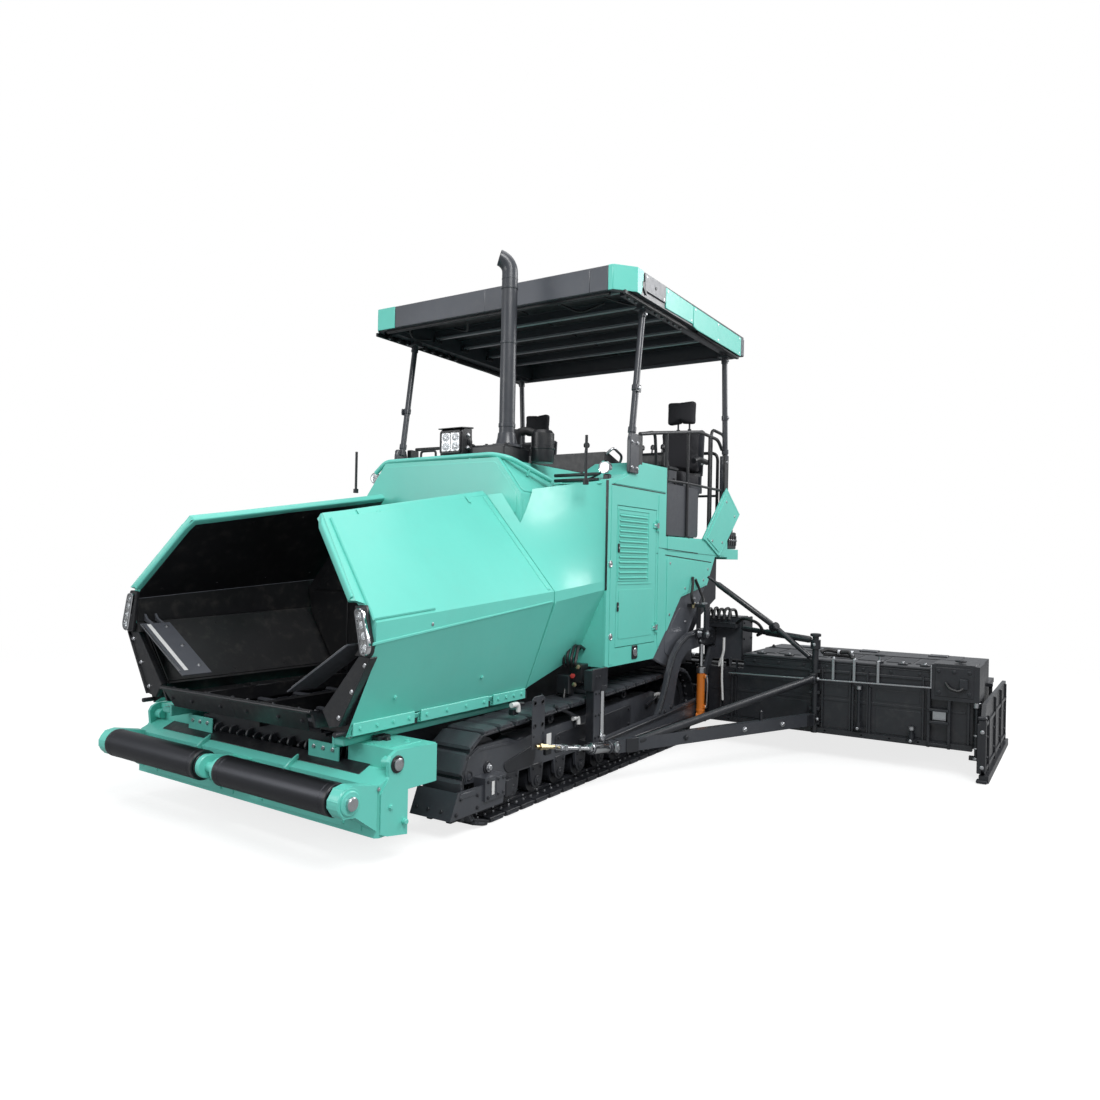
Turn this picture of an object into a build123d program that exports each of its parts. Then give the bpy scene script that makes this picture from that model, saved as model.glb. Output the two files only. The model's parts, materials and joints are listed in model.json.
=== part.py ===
from build123d import *
import os
from math import atan2, cos, pi, radians, sin

# Tracked asphalt paver: push rollers and hopper in front, engine amidships, operator's
# platform under a roof, augers and a lifted screed with bolt-on extensions behind.
# Millimetres.  +X is the way it paves, +Y its left side, +Z up; the ground is z = 0.

# ---------------------------------------------------------------- tracks
track_inner_y = 845
shoe_width = 305
track_outer_y = track_inner_y + shoe_width
idler_x = 1770
sprocket_x = -1060
idler_face_r = 300
sprocket_face_r = 350
pad_t = 38
pad_root = 3
chain_t = 27
shoe_count = 45
pad_gap = 14
roller_count = 8
roller_pitch = 291
roller_first_x = 1465
roller_r = 80
top_roller_r = 35
frame_inner_y = 925
frame_outer_y = 1075
carrier_plate_t = 22
guard_y = track_outer_y + 6
guard_t = 16
frame_z0 = 245
frame_z1 = 500

# ---------------------------------------------------------------- hull
wall_y = 740
wall_t = 140
tunnel_floor_z = 600
tunnel_roof_z = 950
tunnel_rear_x = -1400
hull_front_x = 2300
floor_z = 740
floor_half = 720
floor_front_x = 2620
flap_half = 695
hopper_rear_x = 1340
slat_pitch = 305

# ---------------------------------------------------------------- hopper wings
wing_rear_x = 1060
wing_front_x = 2822
wing_sill_x = 2735
lamp_back_x = 2775
lamp_t = 45
lamp_z0 = 1121
hinge_y = 880
hinge_z = 690
hinge_r = 14
knuckle_xs = (1480, 2200)
knuckle_half = 18
knuckle_gap = 6
running_gap = 0.05

# ---------------------------------------------------------------- push beam and rollers
beam_front_x = 2708
beam_depth = 148
beam_half = 1160
beam_z0 = 170
beam_z1 = 440
beam_skin = 18
beam_rock = 2
shelf_rise = 60
side_box_x = 2265
side_box_inner = 390
side_box_z0 = 385
side_box_z1 = 605
ear_t = 25
ear_pin_z = 540
arm_w = 80
push_axis_x = 2896
push_axis_z = 399
push_r = 87.5
push_pin_r = 30
push_inner_y = 100
push_side_gap = 10
push_outer_y = beam_half - 2 * push_side_gap - arm_w
pivot_x = 2440
pivot_r = 55
tongue_half = 130
tongue_z0 = 340
tongue_z1 = 390

# ---------------------------------------------------------------- engine housing
side_y = 1212
sheet = 20
tower_front_x = 450
tower_rear_x = -570
tower_inner_y = 800
tower_bottom_z = 850
hood_front_x = 970
hood_rear_x = -450
hood_half_top = 560
hood_half_low = 775
hood_top_z = 2400
hood_shoulder_z = 2130
door_x0 = -386
door_x1 = 304
door_z0 = 985
door_z1 = 2080
door_gap = 6
door_hinge_y = 1225
door_hinge_zs = (1110, 1950)
door_pin_r = 6
louvre_count = 13
louvre_z0 = 1520
louvre_pitch = 40

# ---------------------------------------------------------------- platform
deck_z = 1870
fascia_z0 = 1710
platform_rear_x = -2000
roof_front_x = 427
roof_rear_x = -2031
roof_half = 1326
roof_top_z = 3880
roof_rim = 190
roof_skin = 30
roof_edge_z = roof_top_z - roof_rim
post_top_z = roof_edge_z + 10
exhaust_x = 720
exhaust_y = 460
exhaust_bend_z = roof_top_z - roof_skin
post_y = 1205
front_post_foot = (87, 2600)
front_post_head = (-72, post_top_z)
rear_post_foot = (-1915, 2660)
rear_post_head = (-1847, post_top_z)
seat_x = -1450
seat_y = 850
seat_pan_z = 2380

# ---------------------------------------------------------------- screed and its arms
tow_x = 500
tow_z = 290
arm_y0 = 1235
arm_t = 30
arm_over_z = 755
tow_pin_r = 25
bracket_x = 1325
bracket_z = 630
bracket_dx = 90
bracket_dz = 150
bracket_hole_r = 13
sleeve_y = 1322
lift_pin_r = 18
lift_rod_r = 20
barrel_r = 36
barrel_top_z = 710
eye_slack = 14
auger_x = -1750
auger_z = 420
auger_r = 185
auger_shaft_r = 45
auger_end_y = 2900
plate_x = -1400
plate_t = 20
plate_z0 = 215
deck_edge_z = 840
box_front_x = -2050
box_rear_x = -3020
sole_z = 120
box_top_z = 640
walk_depth = 480
basic_half = 1600
ext_end_y = 3490
gate_y = 3560
gate_t = 30
gate_front_x = -1250
guide_y = 3520
guide_r = 14
guide_rear_x = -2400
lift_x = -1156
lift_y = 1310
lift_top_z = 1010
bracket_top_z = 1250
lift_eye_z = 270

os.makedirs("parts", exist_ok=True)


def plate_xz(points, y0, y1, mode=Mode.ADD):
    """A flat plate between two Y planes, from its side outline (x, z)."""
    with BuildSketch(Plane.XZ.offset(-max(y0, y1))) as outline:
        with BuildLine():
            Polyline(*points, close=True)
        make_face()
    extrude(outline.sketch, amount=abs(y1 - y0), mode=mode)


def plate_yz(points, x0, x1, mode=Mode.ADD):
    """A flat plate between two X planes, from its front outline (y, z)."""
    with BuildSketch(Plane.YZ.offset(min(x0, x1))) as outline:
        with BuildLine():
            Polyline(*points, close=True)
        make_face()
    extrude(outline.sketch, amount=abs(x1 - x0), mode=mode)


def plate_xy(points, z0, z1, mode=Mode.ADD):
    """A flat plate between two Z planes, from its plan (x, y)."""
    with BuildSketch(Plane.XY.offset(min(z0, z1))) as outline:
        with BuildLine():
            Polyline(*points, close=True)
        make_face()
    extrude(outline.sketch, amount=abs(z1 - z0), mode=mode)


def block(x0, x1, y0, y1, z0, z1, mode=Mode.ADD):
    """A box from its six faces."""
    plate_xy([(x0, y0), (x1, y0), (x1, y1), (x0, y1)], z0, z1, mode)


def rod(start, end, radius, mode=Mode.ADD):
    """A round bar from one point to another."""
    a = Vector(*start)
    b = Vector(*end)
    with BuildSketch(Plane(origin=a, z_dir=b - a)) as outline:
        Circle(radius)
    extrude(outline.sketch, amount=(b - a).length, mode=mode)


def tube(start, end, radius, bore):
    """A round tube from one point to another."""
    a = Vector(*start)
    b = Vector(*end)
    with BuildSketch(Plane(origin=a, z_dir=b - a)) as outline:
        Circle(radius)
        Circle(bore, mode=Mode.SUBTRACT)
    extrude(outline.sketch, amount=(b - a).length)


def save(piece, name):
    """Label one finished piece and write it."""
    piece.label = name
    export_step(piece, f"parts/{name}.step")


# ================================================================ tracks
axle_dx = idler_x - sprocket_x
tilt = 2 * atan2(sprocket_face_r - idler_face_r, axle_dx)


def run_point(s):
    """Point and heading on the shoes' ground face, s along the loop from the front axle."""
    flat = axle_dx
    rear_arc = sprocket_face_r * (pi + tilt)
    front_arc = idler_face_r * (pi - tilt)
    s = s % (2 * flat + rear_arc + front_arc)
    if s < flat:
        return idler_x - s, 0, pi
    s -= flat
    if s < rear_arc:
        a = s / sprocket_face_r
        x = sprocket_x - sprocket_face_r * sin(a)
        return x, sprocket_face_r - sprocket_face_r * cos(a), pi - a
    s -= rear_arc
    if s < flat:
        a = pi + tilt
        x = sprocket_x - sprocket_face_r * sin(a) + s * cos(-tilt)
        z = sprocket_face_r - sprocket_face_r * cos(a) + s * sin(-tilt)
        return x, z, -tilt
    s -= flat
    a = s / idler_face_r
    x = idler_x + idler_face_r * sin(a + tilt)
    return x, idler_face_r + idler_face_r * cos(a + tilt), -tilt - a


loop_length = 2 * axle_dx + sprocket_face_r * (pi + tilt) + idler_face_r * (pi - tilt)
shoe_pitch = loop_length / shoe_count


def loop_outline(inset):
    """The track's loop, moved inwards from the ground face by the inset."""
    rf = idler_face_r - inset
    rr = sprocket_face_r - inset
    top_front = (idler_x + rf * sin(tilt), idler_face_r + rf * cos(tilt))
    top_rear = (sprocket_x + rr * sin(tilt), sprocket_face_r + rr * cos(tilt))
    Line((sprocket_x, inset), (idler_x, inset))
    ThreePointArc((idler_x, inset), (idler_x + rf, idler_face_r), top_front)
    Line(top_front, top_rear)
    ThreePointArc(top_rear, (sprocket_x - rr, sprocket_face_r), (sprocket_x, inset))


with BuildPart() as track_left:
    with BuildSketch(Plane.XZ.offset(-track_outer_y)):
        with BuildLine():
            loop_outline(pad_t)
        make_face()
        for shoe in range(shoe_count):
            px, pz, heading = run_point((shoe + 0.5) * shoe_pitch)
            half = (shoe_pitch - pad_gap) / 2
            dx, dz = cos(heading), sin(heading)
            nx, nz = dz, -dx
            root = pad_t + pad_root
            corners = []
            for along, inward in ((-half, 6), (-half + 10, 0), (half - 10, 0), (half, 6), (half, root),
                                  (-half, root)):
                corners.append((px + along * dx + inward * nx, pz + along * dz + inward * nz))
            with BuildLine():
                Polyline(*corners, close=True)
            make_face()
        with BuildLine():
            loop_outline(pad_t + chain_t)
        make_face(mode=Mode.SUBTRACT)
    extrude(amount=shoe_width)
save(track_left.part, "track_left")

with BuildPart() as track_right:
    add(mirror(track_left.part, about=Plane.XZ))
save(track_right.part, "track_right")

link_inset = pad_t + chain_t
roller_z = link_inset + roller_r + 0.3
idler_r = idler_face_r - link_inset - 0.3
sprocket_r = sprocket_face_r - link_inset - 0.3


def upper_run_z(x):
    """Inner face of the upper run."""
    share = (x - sprocket_x) / axle_dx
    top_rear = 2 * sprocket_face_r - link_inset
    top_front = 2 * idler_face_r - link_inset
    return top_rear + share * (top_front - top_rear)


with BuildPart() as track_frames:
    plate_xz(
        [(1515, frame_z0), (1515, frame_z1 - 90), (1360, frame_z1 - 40), (-600, frame_z1 + 20),
         (-755, frame_z1), (-755, frame_z0)],
        frame_inner_y, frame_outer_y,
    )
    plate_xz(
        [(1962, 282), (1978, 370), (1925, 455), (1839, frame_z1 - 10), (1522, frame_z1 - 10), (1400, 450),
         (1240, 470),
         (-600, frame_z1 + 40), (-1000, 420), (-1090, 350), (-1000, 270), (-860, frame_z0),
         (1547, frame_z0 + 6)],
        frame_outer_y, frame_outer_y + carrier_plate_t,
    )
    for i in range(roller_count):
        x = roller_first_x - i * roller_pitch
        for side in (-1, 1):
            plate_xz(
                [(x + side * 22, frame_z0 + 5), (x + side * 78, frame_z0 + 5), (x + side * 66, 150),
                 (x + side * 40, 128), (x + side * 22, 128)],
                frame_outer_y, frame_outer_y + carrier_plate_t,
            )
    # guard in front of the shoes, on a side plate and a carrier from the frame
    plate_xz([(2116, 275), (2184, 122), (1665, 119), (1638, 264)], guard_y, guard_y + guard_t)
    plate_xz([(2116, 275), (2184, 122), (2170, 116), (2102, 269)], track_inner_y + 15, guard_y + 1)
    block(1665, 1870, frame_outer_y + carrier_plate_t - 1, guard_y + guard_t + 14, 170, 310)
    mirror(about=Plane.XZ)
save(track_frames.part, "track_frames")

with BuildPart() as track_wheels:
    for x, z, r in ((idler_x, idler_face_r, idler_r), (sprocket_x, sprocket_face_r, sprocket_r)):
        rod((x, 935, z), (x, 1060, z), r)
        rod((x, 900, z), (x, frame_outer_y, z), 70)
        rod((x, 1045, z), (x, 1061, z), r - 45, mode=Mode.SUBTRACT)
        rod((x, 1040, z), (x, frame_outer_y, z), 70)
    for i in range(roller_count):
        x = roller_first_x - i * roller_pitch
        rod((x, 935, roller_z), (x, 1060, roller_z), roller_r)
        rod((x, 920, roller_z), (x, frame_outer_y, roller_z), 24)
    for x in (950, -150):
        z = upper_run_z(x) - top_roller_r - 0.5
        rod((x, 935, z), (x, 1060, z), top_roller_r)
        rod((x, 925, z), (x, frame_outer_y, z), 16)
    mirror(about=Plane.XZ)
save(track_wheels.part, "track_wheels")

# ================================================================ hull and hopper
with BuildPart() as chassis:
    for side in (-1, 1):
        a, b = sorted((side * wall_y, side * (wall_y - wall_t)))
        plate_xz(
            [(hull_front_x, 300), (hull_front_x, tunnel_floor_z + 55), (1050, tunnel_floor_z + 55),
             (1050, tunnel_roof_z + 60), (tunnel_rear_x, tunnel_roof_z + 60), (tunnel_rear_x, 420),
             (tunnel_rear_x + 250, 300)],
            a, b,
        )
        for x in (-500, 1250):
            a, b = sorted((side * wall_y, side * frame_inner_y))
            block(x - 110, x + 110, a, b, 285, 470)
    block(tunnel_rear_x + 250, hull_front_x, -wall_y + wall_t, wall_y - wall_t, 300, 340)
    block(tunnel_rear_x, hull_front_x + 260, -wall_y + wall_t, wall_y - wall_t, tunnel_floor_z - 60,
          tunnel_floor_z)
    block(tunnel_rear_x, 1050, -wall_y + wall_t, wall_y - wall_t, tunnel_roof_z, tunnel_roof_z + 60)
    block(hull_front_x - 60, hull_front_x, -wall_y + wall_t, wall_y - wall_t, 340, tunnel_floor_z - 60)
    block(hull_front_x, pivot_x - 60, -200, 200, 300, 330)
    block(hull_front_x, pivot_x - 60, -200, 200, 420, 450)
    rod((pivot_x, 0, 290), (pivot_x, 0, 460), pivot_r)
    block(pivot_x - 90, pivot_x, -60, 60, 300, 330)
    block(pivot_x - 90, pivot_x, -60, 60, 420, 450)
    for side in (-1, 1):
        # hinge pin of a hopper wing, on arms from the hull
        rod((wing_rear_x - 30, side * hinge_y, hinge_z), (wing_front_x - 10, side * hinge_y, hinge_z),
            hinge_r)
        a, b = sorted((side * (wall_y - 1), side * (hinge_y + 24)))
        block(wing_rear_x - 30, wing_rear_x - knuckle_gap, a, b, hinge_z - 26, hinge_z + 26)
        for x in knuckle_xs:
            block(x - knuckle_half, x + knuckle_half, a, b, hinge_z - 26, hinge_z + 26)
            a2, b2 = sorted((side * (wall_y - 1), side * (wall_y + 30)))
            block(x - knuckle_half, x + knuckle_half, a2, b2, tunnel_floor_z, hinge_z)
save(chassis.part, "chassis")

with BuildPart() as conveyors:
    for side in (-1, 1):
        a, b = sorted((side * 40, side * 540))
        block(tunnel_rear_x, 2560, a, b, tunnel_floor_z, tunnel_floor_z + 16)
        for i in range(12):
            x = 2480 - i * slat_pitch
            block(x - 20, x + 20, a, b, tunnel_floor_z + 10, tunnel_floor_z + 50)
save(conveyors.part, "conveyors")

# section of a wing: (y, z) at its front end and at its rear end
wing_section = {
    "sill": ((884, 664), (884, 664)),
    "crease": ((1136, 1180), (1136, 1357)),
    "shoulder": ((1136, 1300), (1136, 1431)),
    "rim_out": ((622, 1868), (520, 2128)),
    "rim_in": ((588, 1838), (486, 2098)),
    "inner_crease": ((1046, 1336), (1046, 1468)),
    "inner_band": ((1030, 1180), (1030, 1240)),
    "lip": ((738, 802), (738, 802)),
    "heel": ((800, 705), (800, 705)),
}
front_section = [pair[0] for pair in wing_section.values()]
rear_section = [pair[1] for pair in wing_section.values()]

with BuildPart() as hopper_wing_left:
    with BuildSketch(Plane.YZ.offset(wing_rear_x)):
        with BuildLine():
            Polyline(*rear_section, close=True)
        make_face()
    with BuildSketch(Plane.YZ.offset(wing_front_x)):
        with BuildLine():
            Polyline(*front_section, close=True)
        make_face()
    loft(ruled=True)
    plate_xz(
        [(wing_front_x, 1415), (2691, 1863), (2640, 2060), (2960, 2060), (2960, 600), (wing_sill_x, 600),
         (wing_sill_x, lamp_z0), (lamp_back_x, lamp_z0), (lamp_back_x, 1400)],
        400, 1300, mode=Mode.SUBTRACT,
    )
    rod((wing_rear_x - 1, hinge_y, hinge_z), (wing_front_x + 1, hinge_y, hinge_z), hinge_r + running_gap,
        mode=Mode.SUBTRACT)
    for x in knuckle_xs:
        half = knuckle_half + knuckle_gap
        block(x - half, x + half, wall_y - 10, hinge_y + 60, hinge_z - 60, hinge_z + 45, mode=Mode.SUBTRACT)
save(hopper_wing_left.part, "hopper_wing_left")

with BuildPart() as hopper_wing_right:
    add(mirror(hopper_wing_left.part, about=Plane.XZ))
save(hopper_wing_right.part, "hopper_wing_right")

with BuildPart() as wing_lamp_left:
    plate_yz(
        [(996, 1388), (1078, 1394), (1130, 1180), (1130, 1150), (1110, lamp_z0 + 1), (1040, lamp_z0 + 1)],
        lamp_back_x, lamp_back_x + lamp_t,
    )
    # black end plate below the lamp
    plate_yz(
        [(1106, lamp_z0), (1060, lamp_z0), (820, 730), (882, 730)],
        wing_sill_x, wing_sill_x + 40,
    )
    # deflector over the front flap, on two lugs from the wing's inner skin
    plate_yz([(948, 1180), (953, 1172), (487, 877), (482, 885)], 2618, 2800)
    for x in (2640, 2715):
        plate_yz([(1035, 1240), (1030.2, 1190), (1004, 1180), (952, 1174), (946, 1182), (1004, 1205)],
                 x - 8, x + 8)
save(wing_lamp_left.part, "wing_lamp_left")

with BuildPart() as wing_lamp_right:
    add(mirror(wing_lamp_left.part, about=Plane.XZ))
save(wing_lamp_right.part, "wing_lamp_right")

with BuildPart() as hopper_floor:
    block(hopper_rear_x - 290, floor_front_x, -floor_half, -560, tunnel_floor_z + 55, floor_z)
    block(hopper_rear_x - 290, floor_front_x, 560, floor_half, tunnel_floor_z + 55, floor_z)
    block(hopper_rear_x - 290, floor_front_x, -30, 30, tunnel_floor_z, floor_z)
    # rear wall with the tunnel's mouth left open below it
    plate_yz(
        [(-floor_half, floor_z), (-floor_half + 8, floor_z + 60), (-975, 1190), (-1018, 1390),
         (-500, 1960), (500, 1960), (1018, 1390), (975, 1190), (floor_half - 8, floor_z + 60),
         (floor_half, floor_z)],
        hopper_rear_x - 40, hopper_rear_x,
    )
    block(hopper_rear_x - 41, hopper_rear_x + 1, -560, 560, floor_z - 1, tunnel_roof_z, mode=Mode.SUBTRACT)
    for side in (-1, 1):
        a, b = sorted((side * 560, side * (floor_half - 8)))
        block(1050, hopper_rear_x - 40, a, b, floor_z, tunnel_roof_z + 60)
    block(1050, hopper_rear_x - 40, -560, 560, tunnel_roof_z, tunnel_roof_z + 60)
    for side in (-1, 1):
        # ears that carry the front flap's hinge rod
        a, b = sorted((side * (flap_half + 8), side * (floor_half - 1)))
        block(floor_front_x - 1, floor_front_x + 40, a, b, floor_z - 36, floor_z + 8)
        rod((floor_front_x + 18, a - 1, floor_z - 14), (floor_front_x + 18, b + 1, floor_z - 14),
            14 + running_gap,
            mode=Mode.SUBTRACT)
save(hopper_floor.part, "hopper_floor")

with BuildPart() as front_flap:
    plate_xz(
        [(floor_front_x + 12, floor_z - 22), (floor_front_x + 12, floor_z), (2809, 800), (2816, 782),
         (floor_front_x + 20, floor_z - 24)],
        -flap_half, flap_half,
    )
    for y in (-686, -410, -140, 140, 410, 686):
        plate_xz(
            [(floor_front_x + 30, floor_z - 16), (2800, 786), (2770, 700), (floor_front_x + 60, 690)],
            y - 8, y + 8,
        )
    rod((floor_front_x + 18, -flap_half - 22, floor_z - 14),
        (floor_front_x + 18, flap_half + 22, floor_z - 14), 14)
save(front_flap.part, "front_flap")

# ================================================================ push beam
arm_outer_y = beam_half - push_side_gap
arm_inner_y = arm_outer_y - arm_w
beam_rear_x = beam_front_x - beam_depth
beam_turn = Axis((pivot_x, 0, 0), (0, 0, 1))

with BuildPart() as straight_beam:
    plate_xz(
        [(beam_front_x, beam_z0), (beam_front_x, beam_z1), (beam_rear_x + beam_skin, beam_z1 + shelf_rise),
         (beam_rear_x, beam_z1 + shelf_rise - beam_skin), (beam_rear_x, beam_z0)],
        -arm_outer_y, arm_outer_y,
    )
    chamfer(straight_beam.edges().filter_by(Axis.Z).group_by(Axis.X)[-1], beam_skin)
    block(pivot_x - 90, beam_rear_x + 1, -tongue_half, tongue_half, tongue_z0, tongue_z1)
    rod((pivot_x, 0, 0), (pivot_x, 0, 600), pivot_r + running_gap, mode=Mode.SUBTRACT)
    for side in (-1, 1):
        # side boxes and lifting ears with their pins
        a, b = sorted((side * (arm_outer_y - side_box_inner), side * arm_outer_y))
        block(side_box_x, beam_rear_x + 1, a, b, side_box_z0, side_box_z1)
        a, b = sorted((side * (beam_half - ear_t), side * beam_half))
        plate_xz(
            [(side_box_x, side_box_z0 + 5), (side_box_x, side_box_z1 - 5),
             (beam_rear_x - 60, side_box_z1 + 5),
             (beam_rear_x + 15, side_box_z1 + 7), (beam_rear_x + 60, side_box_z1 - 15),
             (beam_rear_x + 78, ear_pin_z + 20), (beam_rear_x + 70, ear_pin_z - 60),
             (beam_front_x - beam_skin, beam_z1 - 40), (beam_front_x - beam_skin, beam_z0 + 20),
             (beam_rear_x + 80, beam_z0 - 1), (beam_rear_x - 70, beam_z0 - 25),
             (beam_rear_x - 70, side_box_z0 + 5)],
            a, b,
        )
        rod((beam_rear_x + 16, side * (beam_half - 90), ear_pin_z),
            (beam_rear_x + 16, side * (beam_half + 4), ear_pin_z), 32)
        # outer arm of a push roller
        a, b = sorted((side * arm_inner_y, side * arm_outer_y))
        plate_xz(
            [(beam_front_x - 1, beam_z0 + 40), (push_axis_x - 40, push_axis_z - 82),
             (push_axis_x + 40, push_axis_z - 74),
             (push_axis_x + 80, push_axis_z - 20), (push_axis_x + 80, push_axis_z + 20),
             (push_axis_x + 40, push_axis_z + 74), (push_axis_x - 20, push_axis_z + 84),
             (beam_front_x - 1, beam_z1 + 10)],
            a, b,
        )
        # middle arm between the two rollers
        a, b = sorted((side * (push_inner_y - push_side_gap), side * (push_inner_y - push_side_gap - 35)))
        plate_xz(
            [(beam_front_x - 1, beam_z0 + 60), (push_axis_x - 30, push_axis_z - 66),
             (push_axis_x + 40, push_axis_z - 50),
             (push_axis_x + 66, push_axis_z), (push_axis_x + 40, push_axis_z + 50),
             (push_axis_x - 30, push_axis_z + 66),
             (beam_front_x - 1, beam_z1 - 10)],
            a, b,
        )
    rod((push_axis_x, -arm_outer_y, push_axis_z), (push_axis_x, arm_outer_y, push_axis_z), push_pin_r)

with BuildPart() as push_beam:
    add(straight_beam.part.rotate(beam_turn, -beam_rock))
save(push_beam.part, "push_beam")

with BuildPart() as straight_roller:
    with BuildSketch(Plane.XZ.offset(-push_outer_y)):
        with Locations((push_axis_x, push_axis_z)):
            Circle(push_r)
            Circle(push_pin_r + running_gap, mode=Mode.SUBTRACT)
    extrude(amount=push_outer_y - push_inner_y)
    chamfer(straight_roller.edges().filter_by(GeomType.CIRCLE).group_by(SortBy.RADIUS)[-1], 6)

with BuildPart() as push_roller_left:
    add(straight_roller.part.rotate(beam_turn, -beam_rock))
save(push_roller_left.part, "push_roller_left")

other_roller = mirror(straight_roller.part, about=Plane.XZ)
with BuildPart() as push_roller_right:
    add(other_roller.rotate(beam_turn, -beam_rock))
save(push_roller_right.part, "push_roller_right")

# ================================================================ engine housing
with BuildPart() as engine_block:
    block(-150, 850, -330, 330, tunnel_roof_z + 60, 1900)
save(engine_block.part, "engine_block")

tower_outline = [
    (tower_front_x, tower_bottom_z), (tower_front_x, 2262), (208, 2323), (-59, 2445),
    (tower_rear_x, 2449), (tower_rear_x, 1034), (-368, tower_bottom_z),
]
tower_inner = [
    (tower_front_x - sheet, tower_bottom_z + sheet), (tower_front_x - sheet, 2246), (200, 2302),
    (-62, 2423), (tower_rear_x + sheet, 2428), (tower_rear_x + sheet, 1043), (-377, tower_bottom_z + sheet),
]
# cheek between wing and tower: (y, z) of its skin's outside and inside, at either end
cheek_front = [(898, 732), (1136, 1357), (1136, 1431), (530, 2116)]
cheek_front_in = [(876, 742), (1110, 1364), (1110, 1420), (510, 2098)]
cheek_rear = [(960, 920), (1200, 1434), (1200, 1500), (1200, 2258)]
cheek_rear_in = [(938, 928), (1176, 1440), (1176, 1500), (1176, 2240)]
with BuildPart() as side_towers:
    plate_xz(tower_outline, tower_inner_y, side_y)
    plate_xz(tower_inner, tower_inner_y + sheet, side_y - sheet, mode=Mode.SUBTRACT)
    block(door_x0, door_x1, side_y - sheet - 1, side_y + 1, door_z0, door_z1, mode=Mode.SUBTRACT)
    for z in door_hinge_zs:
        rod((door_x0, door_hinge_y, z - 44), (door_x0, door_hinge_y, z + 44), door_pin_r)
        for z0 in (z - 44, z + 26):
            block(door_x0 - 26, door_x0 + 1, side_y - 1, door_hinge_y + 9, z0, z0 + 18)
    # fixed cheek that leads from the wing's rear end to the tower's front corner
    for panel in range(len(cheek_front) - 1):
        with BuildSketch(Plane.YZ.offset(tower_front_x)) as rear_end:
            with BuildLine():
                Polyline(*cheek_rear[panel:panel + 2], *reversed(cheek_rear_in[panel:panel + 2]), close=True)
            make_face()
        with BuildSketch(Plane.YZ.offset(wing_rear_x - 12)) as front_end:
            with BuildLine():
                Polyline(*cheek_front[panel:panel + 2], *reversed(cheek_front_in[panel:panel + 2]),
                         close=True)
            make_face()
        loft([rear_end.sketch.face(), front_end.sketch.face()], ruled=True)
    block(tower_front_x + 1, hood_front_x + 6, 400, hood_half_low + 6, 700, 2600, mode=Mode.SUBTRACT)
    # skirt below the platform
    plate_xz(
        [(tower_rear_x, 1034), (-908, 1346), (-1498, 1443), (-1684, fascia_z0), (tower_rear_x, fascia_z0)],
        side_y - sheet, side_y,
    )
    mirror(about=Plane.XZ)
save(side_towers.part, "side_towers")

with BuildPart() as engine_door_left:
    block(door_x0 + door_gap, door_x1 - door_gap, side_y - sheet, side_y, door_z0 + door_gap,
          door_z1 - door_gap)
    for i in range(louvre_count):
        z = louvre_z0 + i * louvre_pitch
        block(-221, 261, side_y - sheet - 1, side_y + 1, z, z + 16, mode=Mode.SUBTRACT)
    for i in range(louvre_count):
        z = louvre_z0 + i * louvre_pitch
        plate_yz(
            [(side_y - 4, z + 15), (side_y + 10, z + 2), (side_y + 10, z - 2), (side_y - 10, z + 15)],
            -222, 262,
        )
    for z in door_hinge_zs:
        # knuckle and leaf of a hinge
        block(door_x0, door_x0 + 60, side_y - 1, door_hinge_y - 4, z - 20, z + 20)
        rod((door_x0, door_hinge_y, z - 20), (door_x0, door_hinge_y, z + 20), 12)
        rod((door_x0, door_hinge_y, z - 21), (door_x0, door_hinge_y, z + 21), door_pin_r + running_gap,
            mode=Mode.SUBTRACT)
save(engine_door_left.part, "engine_door_left")

with BuildPart() as engine_door_right:
    add(mirror(engine_door_left.part, about=Plane.XZ))
save(engine_door_right.part, "engine_door_right")

with BuildPart() as hood:
    plate_yz(
        [(-hood_half_low, 1010), (-hood_half_low, hood_shoulder_z), (-hood_half_top, hood_top_z),
         (hood_half_top, hood_top_z), (hood_half_low, hood_shoulder_z), (hood_half_low, 1010)],
        hood_rear_x, hood_front_x,
    )
    plate_yz(
        [(-hood_half_low + 30, 1000), (-hood_half_low + 30, hood_shoulder_z - 14),
         (-hood_half_top + 14, hood_top_z - 30), (hood_half_top - 14, hood_top_z - 30),
         (hood_half_low - 30, hood_shoulder_z - 14), (hood_half_low - 30, 1000)],
        hood_rear_x + 30, hood_front_x - 30, mode=Mode.SUBTRACT,
    )
save(hood.part, "hood")

with BuildPart() as hood_fittings:
    block(560, 900, 335, 830 - 260, hood_top_z, 2500)
    block(600, 820, 380, 560, 2500, 2512)
    # headlamp on its foot
    block(850, 930, -80, 10, hood_top_z, 2475)
    block(800, 930, -156, 90, 2475, 2665)
    # front rail of the hood
    rod((900, -540, hood_top_z + 16), (900, 250, hood_top_z + 16), 16)
    # air intake behind the exhaust
    rod((600, 440, 2500), (600, 440, 2640), 60)
save(hood_fittings.part, "hood_fittings")

with BuildPart() as exhaust_stack:
    with BuildLine() as stack_line:
        Line((exhaust_x, exhaust_y, 2512), (exhaust_x, exhaust_y, exhaust_bend_z))
        TangentArc((exhaust_x, exhaust_y, exhaust_bend_z),
                   (exhaust_x + 60, exhaust_y - 60, exhaust_bend_z + 110), tangent=(0, 0, 1))
    with BuildSketch(Plane(origin=(exhaust_x, exhaust_y, 2512), z_dir=(0, 0, 1))):
        Circle(61)
        Circle(55, mode=Mode.SUBTRACT)
    sweep(path=stack_line.wire())
save(exhaust_stack.part, "exhaust_stack")

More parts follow.
